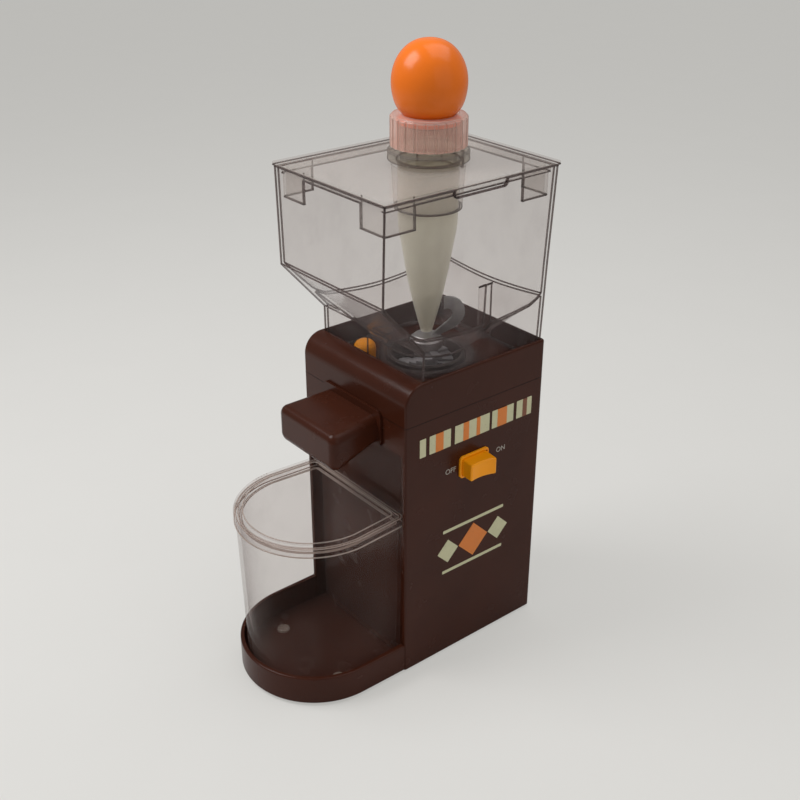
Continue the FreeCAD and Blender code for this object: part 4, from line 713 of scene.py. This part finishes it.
@dataclass(frozen=True)
class PanelPrint:
    """Printing on the switch panel: the striped band, the words and a plain lozenge badge.

    Attributes:
        datum: The housing's datum.
        palette: The finishes.
        thickness: Height of the ink above the panel, in millimetres.
        band_low: Lower edge of the band.
        band_high: Upper edge of the band.
    """

    datum: Datum
    palette: Palette
    thickness: float = 0.12
    band_low: float = 144.8
    band_high: float = 156.2

    def block(self, name: str, back: tuple[float, float], up: tuple[float, float],
              ink: bpy.types.Material, layer: int = 1, corner: float = 0.35) -> bpy.types.Object:
        """Print one block.

        Args:
            name: The piece's name.
            back: Its two ends behind the front face, in millimetres.
            up: Its two heights, in millimetres.
            ink: Its ink.
            layer: How many ink layers deep it stands.
            corner: Corner radius in millimetres.

        Returns:
            The piece.
        """
        low = self.datum.on_panel(back[0], up[0], -INK_SUNK)
        high = self.datum.on_panel(back[1], up[1], self.thickness * layer)
        return new_piece(name, plate(low, high, corner * MM), ink, Body.HOUSING)

    def print_band(self) -> None:
        """Print the band of cream blocks with orange and brown bars in them."""
        cream = [(10.1, 14.5), (17.1, 32.7), (35.8, 62.2), (64.2, 81.2), (83.7, 95.8)]
        bars = [(21.6, 27.2, "orange"), (42.1, 46.3, "orange"), (52.2, 54.9, "orange"),
                (68.5, 75.8, "orange"), (88.6, 92.0, "brown")]
        up = (self.band_low, self.band_high)
        for index, ends in enumerate(cream):
            self.block(f"band_cream_{index}", ends, up, self.palette.cream_ink)
        for index, (start, end, ink) in enumerate(bars):
            material = self.palette.orange_ink if ink == "orange" else self.palette.brown_ink
            self.block(f"band_bar_{index}", (start, end), up, material, 2, 0.2)

    def word(self, name: str, text: str, back: float, up: float,
             height: float) -> bpy.types.Object:
        """Print a word.

        Args:
            name: The piece's name.
            text: The word.
            back: Its middle behind the front face, in millimetres.
            up: Its middle height, in millimetres.
            height: Height of its capitals, in millimetres.

        Returns:
            The piece.
        """
        curve = bpy.data.curves.new(name + "_line", "FONT")
        curve.body = text
        curve.size = height * MM / CAPITAL_SHARE
        curve.extrude = self.thickness * MM / 2
        curve.align_x = "CENTER"
        curve.align_y = "CENTER"
        holder = bpy.data.objects.new(name + "_line", curve)
        bpy.context.scene.collection.objects.link(holder)
        bpy.context.view_layer.update()
        mesh = bmesh.new()
        mesh.from_mesh(bpy.data.meshes.new_from_object(holder))
        bpy.data.objects.remove(holder)
        upright = Matrix(((0, 0, 1), (1, 0, 0), (0, 1, 0))).to_4x4()
        bmesh.ops.transform(mesh, matrix=upright, verts=mesh.verts)
        bmesh.ops.remove_doubles(mesh, verts=mesh.verts, dist=1e-7)
        bmesh.ops.translate(mesh, vec=self.datum.on_panel(back, up, self.thickness / 2),
                            verts=mesh.verts)
        return new_piece(name, mesh, self.palette.word_ink, Body.HOUSING)

    def print_badge(self) -> None:
        """Print the plain badge: three lozenges between two cream bars."""
        middle, up, half_bar = 52.5, 74.0, 24
        cream, orange = self.palette.cream_ink, self.palette.orange_ink
        upright = Matrix.Rotation(math.radians(90), 3, "Y")
        for name, low, high in (("badge_bar_low", -15.2, -13.2), ("badge_bar_high", 13.2, 15.2)):
            self.block(name, (middle - half_bar, middle + half_bar), (up + low, up + high), cream)
        for index, (shift, size, ink) in enumerate(
                ((-20.0, 8.0, cream), (0.0, 11.5, orange), (20.0, 8.0, cream))):
            mesh = bmesh.new()
            bmesh.ops.create_cone(mesh, cap_ends=True, segments=4, radius1=size * MM,
                                  radius2=size * MM, depth=self.thickness * MM)
            bmesh.ops.rotate(mesh, cent=(0, 0, 0), matrix=upright, verts=mesh.verts)
            bmesh.ops.translate(mesh, verts=mesh.verts,
                                vec=self.datum.on_panel(middle + shift, up, self.thickness / 2))
            new_piece(f"badge_lozenge_{index}", mesh, ink, Body.HOUSING)

    def build(self) -> None:
        """Print everything on the panel."""
        capitals = 3.3
        self.print_band()
        self.word("word_off", "OFF", 33.2, 128.4, capitals)
        self.word("word_on", "ON", 72.1, 129.0, capitals)
        self.print_badge()


@dataclass(frozen=True)
class Casing:
    """The housing mouldings and what is fixed to them outside.

    Attributes:
        palette: The finishes.
        seam_height: Height of the shadow line under the upper housing, in millimetres.
        seam_proud: How far that line stands off the wall, in millimetres.
        seam_lift: How far above the lower housing's rim the line starts, in millimetres.
        skin: Depth in which the outer wall's faces lie, in millimetres.
    """

    palette: Palette
    seam_height: float = 0.35
    seam_proud: float = 0.04
    seam_lift: float = 0.02
    skin: float = 4.5

    def draw_seam(self) -> None:
        """Draw the dark line where the upper housing meets the lower one."""
        low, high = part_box("lower_housing")
        mesh = bmesh.new()
        mesh.from_mesh(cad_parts["upper_housing"].data)
        bmesh.ops.remove_doubles(mesh, verts=mesh.verts, dist=WELD)
        foot = max(v.co.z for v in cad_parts["lower_housing"].data.vertices)
        for height, above in ((foot + self.seam_lift * MM, False),
                              (foot + self.seam_height * MM, True)):
            bmesh.ops.bisect_plane(mesh, geom=[*mesh.verts, *mesh.edges, *mesh.faces],
                                   plane_co=(0, 0, height), plane_no=(0, 0, 1),
                                   clear_outer=above, clear_inner=not above)
        middle = (low + high) / 2
        inner = []
        for face in mesh.faces:
            spot = face.calc_center_median()
            depth = min(spot.x - low.x, high.x - spot.x, spot.y - low.y, high.y - spot.y)
            faces_in = face.normal.dot((spot - middle) * Vector((1, 1, 0))) <= 0
            if faces_in or depth > self.skin * MM:
                inner.append(face)
        bmesh.ops.delete(mesh, geom=inner, context="FACES")
        bmesh.ops.solidify(mesh, geom=mesh.faces[:], thickness=-self.seam_proud * MM)
        new_piece("housing_seam", mesh, self.palette.seam, Body.HOUSING)

    def build(self) -> None:
        """Dress the casing."""
        p = self.palette
        dress(p.brown, "lower_housing", "upper_housing", "base_tray", "spout_cover")
        dress(p.rubber, "rubber_feet", "cord_gland")
        dress(p.pad, "tray_pads")
        # pale beads paint highlights along the pads' edges
        painted_light_edge_beads("tray_pads", Body.HOUSING, 0.3, p.pale_edge)
        self.draw_seam()
        dress(p.rocker, "rocker_cap", "switch_frame", "release_button")
        dress(p.nylon, "discharge_chute", "switch_base", "button_bracket")


@dataclass(frozen=True)
class Works:
    """The motor, gearbox and grinder inside.

    Attributes:
        palette: The finishes.
    """

    palette: Palette

    def build(self) -> None:
        """Dress the works."""
        p = self.palette
        dress(p.nylon, "grinding_chamber", "motor_end_cap", "cooling_fan")
        dress(p.grey, "gearbox_tub", "feed_auger")
        dress(p.acetal, "output_gear", "layshaft_gear")
        dress(p.bronze, "shaft_bush", "plate_bush")
        dress(p.rubber, "chamber_seal")
        dress(p.ferrite, "motor_magnets")
        dress(p.board, "rectifier_board")
        dress(p.hook, "agitator_hook")
        dress(p.steel, "drive_shaft", "layshaft", "burr_ring", "burr_cone", "gearbox_plate",
              "motor_can", "motor_armature", "motor_pinion", "base_screws", "seam_screws",
              "pillar_screws", "gearbox_screws", "button_spring")


@dataclass(frozen=True)
class Vessels:
    """The clear hopper, its lid, the jar and its lid.

    Attributes:
        palette: The finishes.
    """

    palette: Palette

    def build(self) -> None:
        """Dress the vessels."""
        p = self.palette
        # the beads paint shade lines on the hopper and its lid, and highlights on the jar and its
        # lid
        for node, body, finish, radius, edge, turn in (
                ("hopper", Body.HOPPER, p.clear, 0.55, p.edge, 24.0),
                ("hopper_lid", Body.HOPPER_LID, p.lid, 0.45, p.edge, 35.0),
                ("jar", Body.JAR, p.jar, 0.35, p.pale_edge, 35.0),
                ("jar_lid", Body.JAR_LID, p.jar, 0.35, p.pale_edge, 35.0)):
            dress(finish, node)
            painted_light_edge_beads(node, body, radius, edge, turn=turn,
                       hollows=node == "hopper")


@dataclass(frozen=True)
class Dropper:
    """The oil dropper: vial, screw collar and bulb.

    Attributes:
        palette: The finishes.
    """

    palette: Palette

    def build(self) -> None:
        """Dress the dropper."""
        dress(self.palette.frosted, "dropper_vial")
        # beads of painted shade along the vial's upper edges
        painted_light_edge_beads("dropper_vial", Body.DROPPER, 0.2, self.palette.edge,
                   low=292.0)
        dress(self.palette.collar, "dropper_collar")
        # beads of painted highlight along the collar's edges
        painted_light_edge_beads("dropper_collar", Body.DROPPER_CAP, 0.2,
                   self.palette.pale_edge)
        dress(self.palette.bulb, "dropper_bulb")


@dataclass(frozen=True)
class Studio:
    """Camera, floor and lamps.

    Attributes:
        datum: The housing's datum.
        yaw: Turn of the camera round the machine, in degrees.
        pitch: How far it looks down, in degrees.
        roll: Its tilt, in degrees.
        focal: Focal length in pixels of the 800-pixel picture.
        eye: The camera's place across, back and up, in millimetres.
        aim: What the lamps face, in the same terms.
        sky_colour: Colour of the light from all round.
        sky_power: Its strength.
        floor_glow: Share of the floor that shows at one plain tone to the camera.
    """

    datum: Datum
    yaw: float = 50.75
    pitch: float = 27.34
    roll: float = 0.07
    focal: float = 1150.16
    eye: tuple[float, float, float] = (462.77, -343.71, 463.46)
    aim: tuple[float, float, float] = (0, 40, 150)
    sky_colour: Colour = (0.86, 0.86, 0.85)
    sky_power: float = 0.38
    floor_glow: float = 0.6

    def place_camera(self) -> None:
        """Set the camera at the photograph's viewing angle."""
        data = bpy.data.cameras.new("camera")
        data.sensor_width = SENSOR_WIDTH
        data.lens = self.focal / PICTURE_PIXELS * data.sensor_width
        data.clip_start = 0.01
        camera = bpy.data.objects.new("camera", data)
        bpy.context.scene.collection.objects.link(camera)
        turn = (Matrix.Rotation(math.radians(self.yaw), 3, "Z")
                @ Matrix.Rotation(math.radians(90 - self.pitch), 3, "X")
                @ Matrix.Rotation(math.radians(self.roll), 3, "Z"))
        camera.matrix_world = Matrix.Translation(self.datum.at(*self.eye)) @ turn.to_4x4()
        bpy.context.scene.camera = camera

    def lay_floor(self) -> None:
        """Lay a pale flat floor."""
        recipe = Recipe("pale_floor")
        tone = recipe.noise(14.0, 3.0)
        colour = recipe.mix(tone, (0.78, 0.77, 0.75), (0.82, 0.81, 0.79))
        lit = recipe.surface(Base_Color=colour, Roughness=0.75)
        glow = recipe.node("ShaderNodeEmission", {}, {"Color": rgba((0.66, 0.65, 0.62))})[0]
        rays = recipe.node("ShaderNodeLightPath", {}, {})
        seen = (rays["Is Camera Ray"] + rays["Is Transmission Ray"]).clamped() * self.floor_glow
        shader = recipe.node("ShaderNodeMixShader", {}, {0: seen, 1: lit, 2: glow})[0]
        material = recipe.finish(shader)
        mesh = bmesh.new()
        bmesh.ops.create_grid(mesh, x_segments=1, y_segments=1, size=3.0)
        data = bpy.data.meshes.new("floor")
        mesh.to_mesh(data)
        mesh.free()
        data.materials.append(material)
        floor = bpy.data.objects.new("floor", data)
        bpy.context.scene.collection.objects.link(floor)

    def hang_lamp(self, name: str, where: tuple[float, float, float], size: float,
                  power: float) -> None:
        """Hang one soft lamp.

        Args:
            name: The lamp's name.
            where: Its place across, back and up, in millimetres.
            size: Its edge, in metres.
            power: Its power, in watts.
        """
        data = bpy.data.lights.new(name, "AREA")
        data.shape = "SQUARE"
        data.size = size
        data.energy = power
        lamp = bpy.data.objects.new(name, data)
        lamp.location = self.datum.at(*where)
        aim = self.datum.at(*self.aim) - self.datum.at(*where)
        lamp.rotation_euler = aim.to_track_quat("-Z", "Y").to_euler()
        bpy.context.scene.collection.objects.link(lamp)

    def build(self) -> None:
        """Set up the studio."""
        scene = bpy.context.scene
        scene.view_settings.view_transform = "Standard"
        scene.cycles.transparent_max_bounces = 40
        world = bpy.data.worlds.new("pale_world")
        world.use_nodes = True
        sky = world.node_tree.nodes["Background"]
        sky.inputs["Color"].default_value = rgba(self.sky_colour)
        sky.inputs["Strength"].default_value = self.sky_power
        scene.world = world
        self.place_camera()
        self.lay_floor()
        self.hang_lamp("key", (-350, -450, 900), size=0.5, power=6.2)
        self.hang_lamp("fill", (800, 100, 500), size=0.8, power=0.9)
        self.hang_lamp("top", (100, 300, 1000), size=0.7, power=3.2)


def main() -> None:
    """Build the studio and dress every sub-assembly."""
    logging.basicConfig(level=logging.INFO, format="%(message)s")
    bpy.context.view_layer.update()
    datum = Datum.from_frame()
    palette = Palette.mixed()
    for assembly in (Studio(datum), Casing(palette), Works(palette), Vessels(palette),
                     Dropper(palette), PanelPrint(datum, palette)):
        assembly.build()
        LOG.info("finished %s", type(assembly).__name__)


if __name__ == "__main__":
    main()
